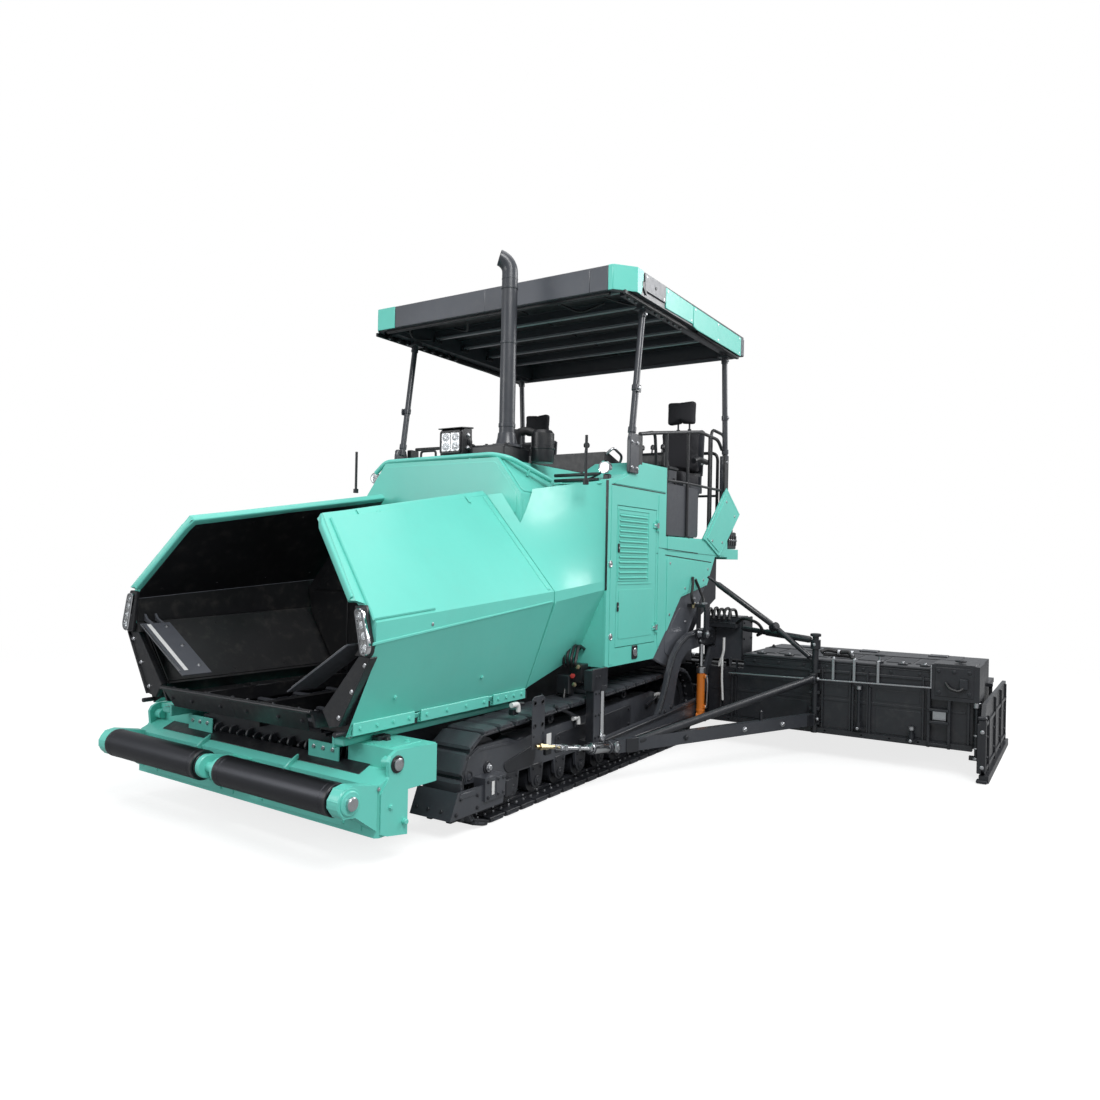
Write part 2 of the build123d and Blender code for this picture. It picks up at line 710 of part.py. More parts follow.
# ================================================================ platform
with BuildPart() as platform:
    block(platform_rear_x, tower_rear_x, -side_y + sheet, side_y - sheet, deck_z - 40, deck_z)
    block(platform_rear_x, tower_rear_x, -side_y, side_y, fascia_z0, fascia_z0 + 20)
    for side in (-1, 1):
        a, b = sorted((side * side_y, side * (side_y - sheet)))
        block(platform_rear_x, tower_rear_x, a, b, fascia_z0 + 20, deck_z)
    block(platform_rear_x, platform_rear_x + 40, -side_y + sheet, side_y - sheet, fascia_z0 + 20,
          deck_z - 40)
save(platform.part, "platform")

with BuildPart() as rear_body:
    plate_xz(
        [(tower_rear_x, tunnel_roof_z + 60), (-1350, tunnel_roof_z + 60), (-1500, 1140), (-1900, 1300),
         (-1900, fascia_z0), (tower_rear_x, fascia_z0)],
        -1140, 1140,
    )
    block(-1850, -1600, -920, 920, 665, 1139)
    block(-1640, -1400, -wall_y, wall_y, 1000, 1145)
save(rear_body.part, "rear_body")

with BuildPart() as fenders:
    plate_xz(
        [(-368, tower_bottom_z), (-750, 720), (-1121, 1020), (-1498, 1443), (-908, 1346),
         (tower_rear_x, 1034)],
        side_y - 2 * sheet, side_y - sheet,
    )
    block(-1100, -1000, 1140, side_y - 2 * sheet, 1120, 1180)
    mirror(about=Plane.XZ)
save(fenders.part, "fenders")

with BuildPart() as platform_wings:
    plate_xz([(-1379, deck_z), (-1910, 2361), (-2253, 2144), (-1734, fascia_z0 + 10)], side_y, side_y + 18)
    block(-2300, platform_rear_x, 950, side_y, fascia_z0 - 20, 1790)
    mirror(about=Plane.XZ)
save(platform_wings.part, "platform_wings")

with BuildPart() as valve_boxes:
    block(-2290, platform_rear_x - 20, 960, side_y - 10, 1790, 1970)
    mirror(about=Plane.XZ)
save(valve_boxes.part, "valve_boxes")

with BuildPart() as console:
    plate_xz(
        [(-790, deck_z), (-790, 2440), (-860, 2520), (-840, 2560), (-640, 2620), (tower_rear_x, 2620),
         (tower_rear_x, deck_z)],
        -600, 600,
    )
save(console.part, "console")

with BuildPart() as roof_posts:
    rod((front_post_foot[0], post_y, front_post_foot[1]),
        (front_post_head[0], post_y, front_post_head[1] - 12), 26)
    rod((rear_post_foot[0], post_y, rear_post_foot[1]),
        (rear_post_head[0], post_y, rear_post_head[1] - 12), 26)
    for x, z in (front_post_head, rear_post_head):
        block(x - 50, x + 50, post_y - 34, post_y + 34, z - 34, z)
    block(20, 150, side_y, post_y + 30, 2350, 2640)
    block(-1960, -1880, post_y - 40, side_y, deck_z, 2700)
    mirror(about=Plane.XZ)
save(roof_posts.part, "roof_posts")

with BuildPart() as roof:
    plate_xy(
        [(roof_front_x, -roof_half + 120), (roof_front_x, roof_half - 120), (roof_front_x - 150, roof_half),
         (roof_rear_x, roof_half), (roof_rear_x, -roof_half), (roof_front_x - 150, -roof_half)],
        roof_edge_z, roof_top_z,
    )
    plate_xy(
        [(roof_front_x - 40, -roof_half + 150), (roof_front_x - 40, roof_half - 150),
         (roof_front_x - 170, roof_half - 40),
         (roof_rear_x + 40, roof_half - 40), (roof_rear_x + 40, -roof_half + 40),
         (roof_front_x - 170, -roof_half + 40)],
        roof_edge_z - 1, roof_top_z - roof_skin, mode=Mode.SUBTRACT,
    )
    for i in range(5):
        x = roof_front_x - 330 - i * 420
        block(x - 30, x + 30, -roof_half + 40, roof_half - 40, roof_top_z - roof_skin - 60,
              roof_top_z - roof_skin + 1)
    for side in (-1, 1):
        a, b = sorted((side * (post_y - 50), side * (post_y + 50)))
        block(roof_rear_x + 40, roof_front_x - 200, a, b, post_top_z, roof_top_z - roof_skin + 1)
save(roof.part, "roof")


def seat_frame(side):
    """Pedestal, pan and headrest rods of a seat."""
    y = side * seat_y
    rod((seat_x, y, deck_z), (seat_x, y, seat_pan_z - 60), 90)
    block(seat_x - 220, seat_x + 220, y - 220, y + 220, seat_pan_z - 60, seat_pan_z)
    plate_xz([(seat_x - 250, seat_pan_z - 60), (seat_x - 220, seat_pan_z - 60), (seat_x - 250, 2940),
              (seat_x - 280, 2940)], y - 200, y + 200)
    for dy in (-60, 60):
        rod((seat_x - 262, y + dy, 2900), (seat_x - 262, y + dy, 3180), 9)


with BuildPart() as seat_left:
    seat_frame(1)
save(seat_left.part, "seat_left")

with BuildPart() as seat_right:
    seat_frame(-1)
save(seat_right.part, "seat_right")


def seat_pads(side):
    """Cushion, back pad and headrest pad of a seat."""
    y = side * seat_y
    block(seat_x - 200, seat_x + 230, y - 230, y + 230, seat_pan_z, seat_pan_z + 110)
    plate_xz([(seat_x - 228.4, seat_pan_z + 120), (seat_x - 110, seat_pan_z + 120), (seat_x - 150, 2940),
              (seat_x - 249.7, 2940)], y - 220, y + 220)
    block(seat_x - 252.7, seat_x - 160, y - 150, y + 150, 2990, 3230)


with BuildPart() as seat_cushions_left:
    seat_pads(1)
save(seat_cushions_left.part, "seat_cushions_left")

with BuildPart() as seat_cushions_right:
    seat_pads(-1)
save(seat_cushions_right.part, "seat_cushions_right")

# ================================================================ augers
with BuildPart() as auger_left:
    rod((auger_x, 50, auger_z), (auger_x, auger_end_y + 28, auger_z), auger_shaft_r)
    turn = 165
    for i in range(16):
        y = 110 + i * turn
        lean = 14 if i % 2 == 0 else -14
        with BuildSketch(Plane(origin=(auger_x, y + turn / 2, auger_z), x_dir=(1, 0, 0),
                               z_dir=(0, cos(radians(lean)), sin(radians(lean))))) as flight:
            Circle(auger_r)
            Circle(auger_shaft_r - 6, mode=Mode.SUBTRACT)
            with Locations(((auger_r + 5) if i % 2 else -(auger_r + 5), 0)):
                Rectangle(2 * auger_r + 10, 2 * auger_r + 10, mode=Mode.SUBTRACT)
        extrude(flight.sketch, amount=14, both=False)
save(auger_left.part, "auger_left")

with BuildPart() as auger_right:
    add(mirror(auger_left.part, about=Plane.XZ))
save(auger_right.part, "auger_right")

with BuildPart() as auger_frame:
    block(auger_x - 75, auger_x + 75, -80, 80, auger_z - 90, 640)
    block(auger_x - 25, auger_x + 25, -auger_end_y - 30, auger_end_y + 30, 625, 665)
    for side in (-1, 1):
        a, b = sorted((side * (auger_end_y + 6), side * (auger_end_y + 30)))
        block(auger_x - 70, auger_x + 70, a, b, auger_z - 70, 640)
        for y0, y1 in ((44, 90), (auger_end_y, auger_end_y + 40)):
            rod((auger_x, side * y0, auger_z), (auger_x, side * y1, auger_z), auger_shaft_r + running_gap,
                mode=Mode.SUBTRACT)
save(auger_frame.part, "auger_frame")

# ================================================================ tow points, arms and screed
with BuildPart() as tow_guides:
    block(540, 640, 1165, 1225, 300, tower_bottom_z)
    block(440, 660, 1160, 1225, 700, tower_bottom_z)
    rod((tow_x, 1195, tow_z + 40), (tow_x, 1195, 700), 20)
    block(tow_x - 40, tow_x + 40, 1160, 1228, tow_z - 45, tow_z + 45)
    block(tow_x - 20, 640, frame_outer_y + carrier_plate_t, 1165, tow_z - 10, tow_z + 40)
    rod((tow_x, 1200, tow_z), (tow_x, sleeve_y + 30, tow_z), tow_pin_r)
    # drilled plate on the track frame, and the adjustable strut between it and the tow pin
    plate_xz([(1240, 400), (1240, 740), (1270, 757), (1380, 757), (1410, 740), (1410, 400)], 1165, 1200)
    block(1270, 1380, frame_outer_y + carrier_plate_t, 1166, 400, 480)
    for x in (bracket_x - bracket_dx / 2, bracket_x + bracket_dx / 2):
        for z in (bracket_z - bracket_dz / 2, bracket_z + bracket_dz / 2):
            rod((x, 1150, z), (x, 1210, z), bracket_hole_r, mode=Mode.SUBTRACT)
    block(1350, 1420, 1200, 1262, 395, 465)
    rod((1385, 1235, 430), (820, sleeve_y, 330), 16)
    rod((830, sleeve_y, 331), (565, sleeve_y, 293), 38)
    plate_xz([(465, 262), (465, 318), (640, 322), (640, 280)], sleeve_y - 50, sleeve_y - 38)
    block(600, 640, sleeve_y - 50, sleeve_y - 20, 285, 318)
    mirror(about=Plane.XZ)
save(tow_guides.part, "tow_guides")

with BuildPart() as tow_arms:
    plate_xz(
        [(tow_x + 45, tow_z - 40), (tow_x + 45, tow_z + 40), (tow_x, tow_z + 60), (-1200, 420),
         (-1500, 860), (-1900, 900), (box_front_x, 800), (box_front_x, 300), (-2035, 300),
         (-1960, arm_over_z),
         (-1545, arm_over_z), (-1340, 400), (-1250, 235), (tow_x, tow_z - 60)],
        arm_y0, arm_y0 + arm_t,
    )
    # swan neck that carries the arm up over the track's rear end
    plate_xz(
        [(-340, 370), (-480, 545), (-550, 700), (-630, 840), (-770, 955), (-930, 1020), (-1250, 1050),
         (-1620, 1050),
         (-1620, 900), (-1250, 890), (-960, 870), (-840, 800), (-760, 690), (-700, 520), (-640, 370)],
        arm_y0, arm_y0 + arm_t,
    )
    block(box_front_x, box_front_x + 25, arm_y0 - 60, arm_y0 + arm_t + 60, 300, box_top_z)
    block(-1850, -1600, 1155, arm_y0 + 1, arm_over_z, 1140)
    block(-1850, -1600, arm_y0 + arm_t - 1, 1530, arm_over_z, 1140)
    block(-1850, -1600, 1155, 1530, 880, 1140)
    rod((tow_x, arm_y0 - 1, tow_z), (tow_x, arm_y0 + arm_t + 1, tow_z), tow_pin_r + running_gap,
        mode=Mode.SUBTRACT)
    rod((lift_x, arm_y0 + arm_t - 1, lift_eye_z), (lift_x, lift_y + 44, lift_eye_z), lift_pin_r)
    rod((lift_x, lift_y + 42, lift_eye_z), (lift_x, lift_y + 52, lift_eye_z), 36)
    mirror(about=Plane.XZ)
save(tow_arms.part, "tow_arms")

with BuildPart() as screed_body:
    block(box_rear_x + walk_depth, box_front_x, -basic_half, basic_half, sole_z, box_top_z)
    block(box_rear_x, box_rear_x + walk_depth, -basic_half, basic_half, box_top_z - 60, box_top_z - 20)
    block(box_rear_x, box_rear_x + walk_depth + 1, -basic_half, basic_half, sole_z, sole_z + 60)
    for y in (20 - basic_half, -basic_half / 2, 0, basic_half / 2, basic_half - 20):
        block(box_rear_x, box_rear_x + walk_depth + 1, y - 10, y + 10, sole_z, box_top_z - 30)
save(screed_body.part, "screed_body")

with BuildPart() as extension_walls:
    # walls in front of the auger tunnel, with the deck behind their upper edge
    block(plate_x - plate_t, plate_x, 1290, ext_end_y, plate_z0, 700)
    block(plate_x - plate_t, plate_x, 1620, ext_end_y, 700, deck_edge_z)
    block(box_front_x, plate_x, basic_half + 20, ext_end_y, deck_edge_z - 40, deck_edge_z)
    block(plate_x, plate_x + 40, 1290, ext_end_y, plate_z0, plate_z0 + 45)
    for y in (1420, 1560, 2330, 2560, 2700, 3130):
        block(plate_x - 1, plate_x + 26, y - 6, y + 6, plate_z0 + 10, 770)
    # end housing and the gate's spindle
    block(plate_x - 300, plate_x + 60, 3195, ext_end_y + 50, 600, 880)
    rod((plate_x + 30, guide_y, 150), (plate_x + 30, guide_y, 601), guide_r)
    block(plate_x - 1, plate_x + 46, ext_end_y - 20, guide_y + 16, 150, 180)
    # post that takes the brace
    rod((plate_x + 40, 2270, plate_z0), (plate_x + 40, 2270, 1040), 27)
    rod((plate_x + 40, 2270, 1040), (plate_x + 40, 2270, 1060), 42)
    block(plate_x, plate_x + 50, 2255, 2285, plate_z0, 800)
    mirror(about=Plane.XZ)
save(extension_walls.part, "extension_walls")

with BuildPart() as extension_screeds:
    block(box_rear_x + walk_depth, box_front_x, basic_half, ext_end_y, sole_z, deck_edge_z)
    block(box_rear_x, box_rear_x + walk_depth + 1, basic_half, ext_end_y, box_top_z - 60, box_top_z - 20)
    block(box_rear_x, box_rear_x + walk_depth + 1, basic_half, ext_end_y, sole_z, sole_z + 60)
    for y in (basic_half + 20, (basic_half + ext_end_y) / 2, ext_end_y - 20):
        block(box_rear_x, box_rear_x + walk_depth + 1, y - 10, y + 10, sole_z, box_top_z - 30)
    rod((guide_rear_x, guide_y, 150), (guide_rear_x, guide_y, 640), guide_r)
    for z in (150, 610):
        block(guide_rear_x - 30, guide_rear_x + 30, ext_end_y - 1, guide_y + 16, z, z + 30)
    mirror(about=Plane.XZ)
save(extension_screeds.part, "extension_screeds")

with BuildPart() as extension_braces:
    foot = Vector(plate_x + 100, 2262, 334)
    nose = Vector(tow_x + 5, sleeve_y + 4, tow_z)
    lower = nose - foot
    with BuildSketch(Plane(origin=foot, x_dir=(lower.Y, -lower.X, 0), z_dir=lower)) as tube_end:
        Rectangle(60, 96)
    extrude(tube_end.sketch, amount=lower.length - 20)
    rod((tow_x, sleeve_y - 28, tow_z), (tow_x, sleeve_y + 28, tow_z), 46)
    rod((tow_x, sleeve_y - 60, tow_z), (tow_x, sleeve_y + 90, tow_z), tow_pin_r + running_gap,
        mode=Mode.SUBTRACT)
    rod(tuple(nose - lower * 0.06), (plate_x + 85, 2262, 678), 30)
    mirror(about=Plane.XZ)
save(extension_braces.part, "extension_braces")

with BuildPart() as end_gate_left:
    plate_xz(
        [(gate_front_x, 100), (gate_front_x, 480), (-1330, 600), (box_rear_x, 600), (box_rear_x, 60),
         (gate_front_x - 60, 60)],
        gate_y, gate_y + gate_t,
    )
    plate_xz([(gate_front_x, 10), (gate_front_x, 62), (box_rear_x, 62), (box_rear_x, 4),
              (gate_front_x - 40, 4)],
             gate_y - 8, gate_y + gate_t + 30)
    for x in (plate_x + 30, guide_rear_x):
        # sleeve on a guide rod
        block(x - 12, x + 12, guide_y + guide_r + 4, gate_y + 1, 240, 350)
        rod((x, guide_y, 240), (x, guide_y, 350), guide_r + 9)
        rod((x, guide_y, 239), (x, guide_y, 351), guide_r + running_gap, mode=Mode.SUBTRACT)
save(end_gate_left.part, "end_gate_left")

with BuildPart() as end_gate_right:
    add(mirror(end_gate_left.part, about=Plane.XZ))
save(end_gate_right.part, "end_gate_right")

with BuildPart() as lift_cylinder_left:
    tube((lift_x, lift_y, 320), (lift_x, lift_y, barrel_top_z), barrel_r, lift_rod_r + running_gap)
    rod((lift_x, lift_y, lift_eye_z + 30), (lift_x, lift_y, 321), barrel_r)
    rod((lift_x, lift_y - 25, lift_eye_z), (lift_x, lift_y + 25, lift_eye_z), 44)
    rod((lift_x, lift_y - 40, lift_eye_z), (lift_x, lift_y + 40, lift_eye_z), lift_pin_r + running_gap,
        mode=Mode.SUBTRACT)
save(lift_cylinder_left.part, "lift_cylinder_left")

with BuildPart() as lift_cylinder_right:
    add(mirror(lift_cylinder_left.part, about=Plane.XZ))
save(lift_cylinder_right.part, "lift_cylinder_right")

with BuildPart() as lift_rod_left:
    rod((lift_x, lift_y, 500), (lift_x, lift_y, lift_top_z - 30), lift_rod_r)
    rod((lift_x, lift_y - 25, lift_top_z), (lift_x, lift_y + 25, lift_top_z), 46)
    rod((lift_x, lift_y - 26, lift_top_z), (lift_x, lift_y + 26, lift_top_z), lift_pin_r + eye_slack,
        mode=Mode.SUBTRACT)
save(lift_rod_left.part, "lift_rod_left")

with BuildPart() as lift_rod_right:
    add(mirror(lift_rod_left.part, about=Plane.XZ))
save(lift_rod_right.part, "lift_rod_right")

with BuildPart() as lift_brackets:
    # outrigger over the swan neck, with two plates that hang down to the pin
    block(lift_x - 60, lift_x + 60, side_y - sheet, lift_y + 50, bracket_top_z, bracket_top_z + 30)
    for y0, y1 in ((lift_y - 38, lift_y - 26), (lift_y + 32, lift_y + 50)):
        block(lift_x - 40, lift_x + 40, y0, y1, lift_top_z - 30, bracket_top_z + 1)
    rod((lift_x, lift_y - 38, lift_top_z), (lift_x, lift_y + 50, lift_top_z), lift_pin_r)
    mirror(about=Plane.XZ)
save(lift_brackets.part, "lift_brackets")
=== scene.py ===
import json
import math

import bpy
import bmesh
from mathutils import Matrix, Vector

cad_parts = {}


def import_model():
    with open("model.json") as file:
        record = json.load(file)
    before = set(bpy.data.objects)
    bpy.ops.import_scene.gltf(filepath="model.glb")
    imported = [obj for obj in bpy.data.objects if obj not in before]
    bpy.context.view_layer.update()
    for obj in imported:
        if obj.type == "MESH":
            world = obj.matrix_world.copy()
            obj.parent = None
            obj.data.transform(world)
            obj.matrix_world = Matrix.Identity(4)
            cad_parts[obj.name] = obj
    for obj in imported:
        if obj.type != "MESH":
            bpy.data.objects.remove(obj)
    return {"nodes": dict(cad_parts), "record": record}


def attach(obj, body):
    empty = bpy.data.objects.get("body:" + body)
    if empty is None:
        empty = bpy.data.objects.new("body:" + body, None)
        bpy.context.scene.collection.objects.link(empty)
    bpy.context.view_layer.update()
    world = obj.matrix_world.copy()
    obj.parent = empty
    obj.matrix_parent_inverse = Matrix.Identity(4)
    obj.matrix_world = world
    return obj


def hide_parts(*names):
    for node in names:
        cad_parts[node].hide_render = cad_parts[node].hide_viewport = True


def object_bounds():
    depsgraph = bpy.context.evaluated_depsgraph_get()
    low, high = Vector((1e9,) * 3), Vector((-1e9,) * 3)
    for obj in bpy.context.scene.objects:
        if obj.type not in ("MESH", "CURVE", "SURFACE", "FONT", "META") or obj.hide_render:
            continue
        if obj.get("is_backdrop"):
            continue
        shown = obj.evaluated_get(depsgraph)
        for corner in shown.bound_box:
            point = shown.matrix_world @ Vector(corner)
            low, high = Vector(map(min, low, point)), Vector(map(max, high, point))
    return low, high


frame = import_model()
nodes = frame["nodes"]
low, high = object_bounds()
X, Y, Z = Vector((1, 0, 0)), Vector((0, 1, 0)), Vector((0, 0, 1))
SIDES = ((1, "left"), (-1, "right"))

# ---------------------------------------------------------------- materials
DUST = (0.36, 0.33, 0.29)
COLOUR_IN, COLOUR_OUT = (6, 7), 2  # the colour sockets of a mix node


def new_material(name):
    mat = bpy.data.materials.new(name)
    mat.use_nodes = True
    return mat, mat.node_tree, mat.node_tree.nodes["Principled BSDF"]


def set_inputs(node, **values):
    """Sets inputs by name; an underscore stands for the space in a name."""
    for key, value in values.items():
        node.inputs[key.replace("_", " ")].default_value = value


def add_node(tree, kind, **values):
    node = tree.nodes.new("ShaderNode" + kind)
    set_inputs(node, **values)
    return node


def link(tree, a, out, b, inp):
    tree.links.new(a.outputs[out], b.inputs[inp])


def noise(tree, scale, detail=4.0, rough=0.6, stretch=None):
    tex = add_node(tree, "TexNoise", Scale=scale, Detail=detail, Roughness=rough)
    geo = add_node(tree, "NewGeometry")
    if stretch:
        mapping = add_node(tree, "Mapping", Scale=stretch)
        link(tree, geo, "Position", mapping, "Vector")
        link(tree, mapping, "Vector", tex, "Vector")
    else:
        link(tree, geo, "Position", tex, "Vector")
    return tex


def ramp(tree, source, out, lo, hi, a, b):
    """An output that runs from lo to hi, mapped to a to b."""
    node = add_node(tree, "MapRange", From_Min=lo, From_Max=hi, To_Min=a, To_Max=b)
    link(tree, source, out, node, "Value")
    return node


def mix(tree, factor, a, b):
    """A mix of two colours by a ramp; each colour is a tuple or another mix."""
    node = add_node(tree, "Mix")
    node.data_type = "RGBA"
    for sock, value in zip(COLOUR_IN, (a, b)):
        if isinstance(value, tuple):
            node.inputs[sock].default_value = (*value, 1.0)
        else:
            link(tree, value, COLOUR_OUT, node, sock)
    link(tree, factor, "Result", node, 0)
    return node


def bump(tree, shader, height_node, out, strength, distance):
    node = add_node(tree, "Bump", Strength=strength, Distance=distance)
    link(tree, height_node, out, node, "Height")
    link(tree, node, "Normal", shader, "Normal")


def paint(name, colour, rough=0.35, coat=0.25, dust=0.12, dark=0.82, peel=0.0006):
    """Sprayed paint: slight orange peel, a little tone drift and patches of dust."""
    mat, tree, shader = new_material(name)
    drift = ramp(tree, noise(tree, 1.7, 3.0), "Fac", 0.35, 0.7, 0.0, 1.0)
    base = mix(tree, drift, colour, tuple(c * dark for c in colour))
    grime = ramp(tree, noise(tree, 11.0, 7.0, 0.7), "Fac", 0.52, 0.8, 0.0, dust)
    final = mix(tree, grime, base, DUST)
    link(tree, final, COLOUR_OUT, shader, "Base Color")
    wear = ramp(tree, noise(tree, 23.0, 5.0, 0.6), "Fac", 0.3, 0.75, rough - 0.06, rough + 0.12)
    link(tree, wear, "Result", shader, "Roughness")
    set_inputs(shader, Coat_Weight=coat, Coat_Roughness=0.18)
    bump(tree, shader, noise(tree, 260.0, 2.0, 0.5), "Fac", 0.12, peel)
    return mat


def metal(name, colour, rough=0.3, stretch=(40.0, 3.0, 40.0), scratch=0.08):
    """Bare metal with fine drawn lines."""
    mat, tree, shader = new_material(name)
    lines = noise(tree, 18.0, 6.0, 0.7, stretch)
    tone = ramp(tree, lines, "Fac", 0.3, 0.7, 0.0, 1.0)
    base = mix(tree, tone, colour, tuple(c * 0.78 for c in colour))
    link(tree, base, COLOUR_OUT, shader, "Base Color")
    shine = ramp(tree, lines, "Fac", 0.3, 0.7, rough - scratch, rough + scratch)
    link(tree, shine, "Result", shader, "Roughness")
    set_inputs(shader, Metallic=1.0)
    bump(tree, shader, lines, "Fac", 0.08, 0.0004)
    return mat


def rubber(name, colour, rough=0.75, grain=140.0, strength=0.35):
    """Moulded rubber or matt plastic with a fine grain and dusty patches."""
    mat, tree, shader = new_material(name)
    patch = noise(tree, 6.0, 6.0, 0.7)
    amount = ramp(tree, patch, "Fac", 0.45, 0.85, 0.0, 0.5)
    base = mix(tree, amount, colour, tuple(c * 1.5 + 0.008 for c in colour))
    link(tree, base, COLOUR_OUT, shader, "Base Color")
    shine = ramp(tree, patch, "Fac", 0.3, 0.8, rough - 0.12, rough + 0.1)
    link(tree, shine, "Result", shader, "Roughness")
    bump(tree, shader, noise(tree, grain, 3.0, 0.6), "Fac", strength, 0.0015)
    return mat


def clear_plastic(name):
    """Moulded lens: fine flutes and a slight haze."""
    mat, tree, shader = new_material(name)
    flutes = add_node(tree, "TexWave", Scale=60.0, Distortion=0.6)
    haze = ramp(tree, noise(tree, 30.0, 4.0), "Fac", 0.3, 0.7, 0.04, 0.12)
    link(tree, haze, "Result", shader, "Roughness")
    set_inputs(shader, Base_Color=(0.93, 0.95, 0.96, 1), Transmission_Weight=0.85, IOR=1.3)
    bump(tree, shader, flutes, "Fac", 0.15, 0.0006)
    return mat


def lamp_red(name):
    """Red rear lamp: glossy plastic with fine cells."""
    mat, tree, shader = new_material(name)
    cells = add_node(tree, "TexVoronoi", Scale=180.0)
    geo = add_node(tree, "NewGeometry")
    link(tree, geo, "Position", cells, "Vector")
    tone = ramp(tree, cells, "Distance", 0.0, 0.6, 0.0, 1.0)
    base = mix(tree, tone, (0.42, 0.01, 0.012), (0.25, 0.006, 0.008))
    link(tree, base, COLOUR_OUT, shader, "Base Color")
    set_inputs(shader, Roughness=0.15)
    bump(tree, shader, cells, "Distance", 0.3, 0.001)
    return mat


MINT = paint("mint_paint", (0.155, 0.67, 0.565), 0.36, 0.3, 0.05, 0.95)
GREY = paint("grey_paint", (0.095, 0.102, 0.118), 0.36, 0.25, 0.06)
ANTHRACITE = paint("anthracite_paint", (0.052, 0.056, 0.066), 0.34, 0.3, 0.06)
BLACK = paint("black_paint", (0.014, 0.015, 0.018), 0.4, 0.2, 0.08, 0.75, 0.001)
SCREED = paint("screed_paint", (0.018, 0.0195, 0.024), 0.36, 0.3, 0.06, 0.78)
LINER = paint("hopper_lining", (0.01, 0.0105, 0.012), 0.36, 0.1, 0.1, 0.6, 0.001)
ORANGE = paint("orange_paint", (0.72, 0.2, 0.02), 0.35, 0.3, 0.08)
LABEL = paint("white_label", (0.75, 0.75, 0.74), 0.4, 0.1, 0.1, 0.95)
RED = paint("red_cap", (0.45, 0.03, 0.025), 0.4, 0.2, 0.08)
RAIL = paint("rail_paint", (0.02, 0.021, 0.024), 0.4, 0.2, 0.08)
STEEL = metal("bare_steel", (0.62, 0.63, 0.65), 0.32)
CHROME = metal("chrome_rod", (0.82, 0.83, 0.85), 0.12, (60.0, 60.0, 2.0), 0.04)
ROLLER = metal("roller_steel", (0.07, 0.072, 0.08), 0.38, (3.0, 40.0, 40.0))
BRASS = metal("plated_fitting", (0.55, 0.46, 0.28), 0.3)
CAST = rubber("cast_black", (0.020, 0.0215, 0.026), 0.42, 60.0, 0.4)
TRACK = rubber("track_rubber", (0.045, 0.048, 0.056), 0.46, 90.0, 0.4)
CLOTH = rubber("seat_cloth", (0.02, 0.02, 0.024), 0.85, 420.0, 0.8)
HOSE = rubber("hose_rubber", (0.014, 0.014, 0.015), 0.5, 300.0, 0.25)
LENS = clear_plastic("lamp_lens")
LENS_RED = lamp_red("rear_lamp_lens")

SLOT_MATERIAL = {"mint": MINT, "dark_paint": ANTHRACITE, "grey_paint": GREY, "black_paint": SCREED,
                 "track_black": CAST, "shoe_rubber": TRACK, "orange_paint": ORANGE, "bare_steel": CHROME,
                 "seat_cloth": CLOTH, "cast": CAST,}
OWN_MATERIAL = {"hopper_floor": LINER, "track_frames": ANTHRACITE, "tow_arms": ANTHRACITE,
                "extension_braces": ANTHRACITE, "conveyors": CAST, "console": BLACK,
                "push_roller_left": ROLLER, "push_roller_right": ROLLER,}
slots = {s["node"]: s["material_slot"] for s in frame["record"]["subparts"]}
for name, obj in nodes.items():
    obj.data.materials.clear()
    obj.data.materials.append(OWN_MATERIAL.get(name, SLOT_MATERIAL[slots[name]]))
    edge = obj.modifiers.new("edge", "BEVEL")
    edge.width = 0.003
    edge.segments = 2
    edge.limit_method = "ANGLE"
    edge.angle_limit = math.radians(38)
    edge.harden_normals = True

# the hopper wings are mint outside and black on the inner side and along their lower front edge
RIM_HEIGHT, SHOULDER_HEIGHT = 1.7, 1.16
for side, tag in SIDES:
    skin = nodes["hopper_wing_" + tag]
    skin.data.materials.append(LINER)
    place = skin.matrix_world
    for face in skin.data.polygons:
        way = (place.to_3x3() @ face.normal).normalized()
        middle = place @ face.center
        rim_top = way.z > 0.3 and middle.z > RIM_HEIGHT
        inward = way.y * side < 0.15 and abs(way.x) < 0.5 and not rim_top and way.z > -0.75
        front = way.x > 0.5 and middle.z < SHOULDER_HEIGHT
        if inward or front:
            face.material_index = 1

# ---------------------------------------------------------------- shapes
PLANES = {"xy": lambda u, v, w: Vector((u, v, w)), "xz": lambda u, v, w: Vector((u, w, v)),
          "yz": lambda u, v, w: Vector((w, u, v)),}
BUTTON = [(0, 0.013), (0.003, 0.012), (0.004, 0.006)]  # a flat screw head as (distance, radius)


def area_sign(outline):
    total = 0.0
    for (x0, y0), (x1, y1) in zip(outline, outline[1:] + outline[:1]):
        total += x0 * y1 - x1 * y0
    return 1.0 if total > 0 else -1.0


def shrink(outline, inset):
    """The outline moved inwards by the inset, with mitred corners."""
    sign = area_sign(outline)
    out = []
    for i, point in enumerate(outline):
        here = Vector(point)
        before = (here - Vector(outline[i - 1])).normalized()
        after = (Vector(outline[(i + 1) % len(outline)]) - here).normalized()
        n0 = Vector((-before.y, before.x)) * sign
        n1 = Vector((-after.y, after.x)) * sign
        both = n0 + n1
        scale = inset * 2 / max(both.length_squared, 0.4)
        out.append(tuple(here + both * scale))
    return out


def arc(before, here, after, radius, steps):
    """Points of the curve that cuts the corner at here, between its two neighbours."""
    back, on = before - here, after - here
    reach = min(radius, back.length * 0.45, on.length * 0.45)
    a, b = here + back.normalized() * reach, here + on.normalized() * reach
    shares = [k / steps for k in range(steps + 1)]
    return [a * (1 - t) ** 2 + here * 2 * t * (1 - t) + b * t * t for t in shares]


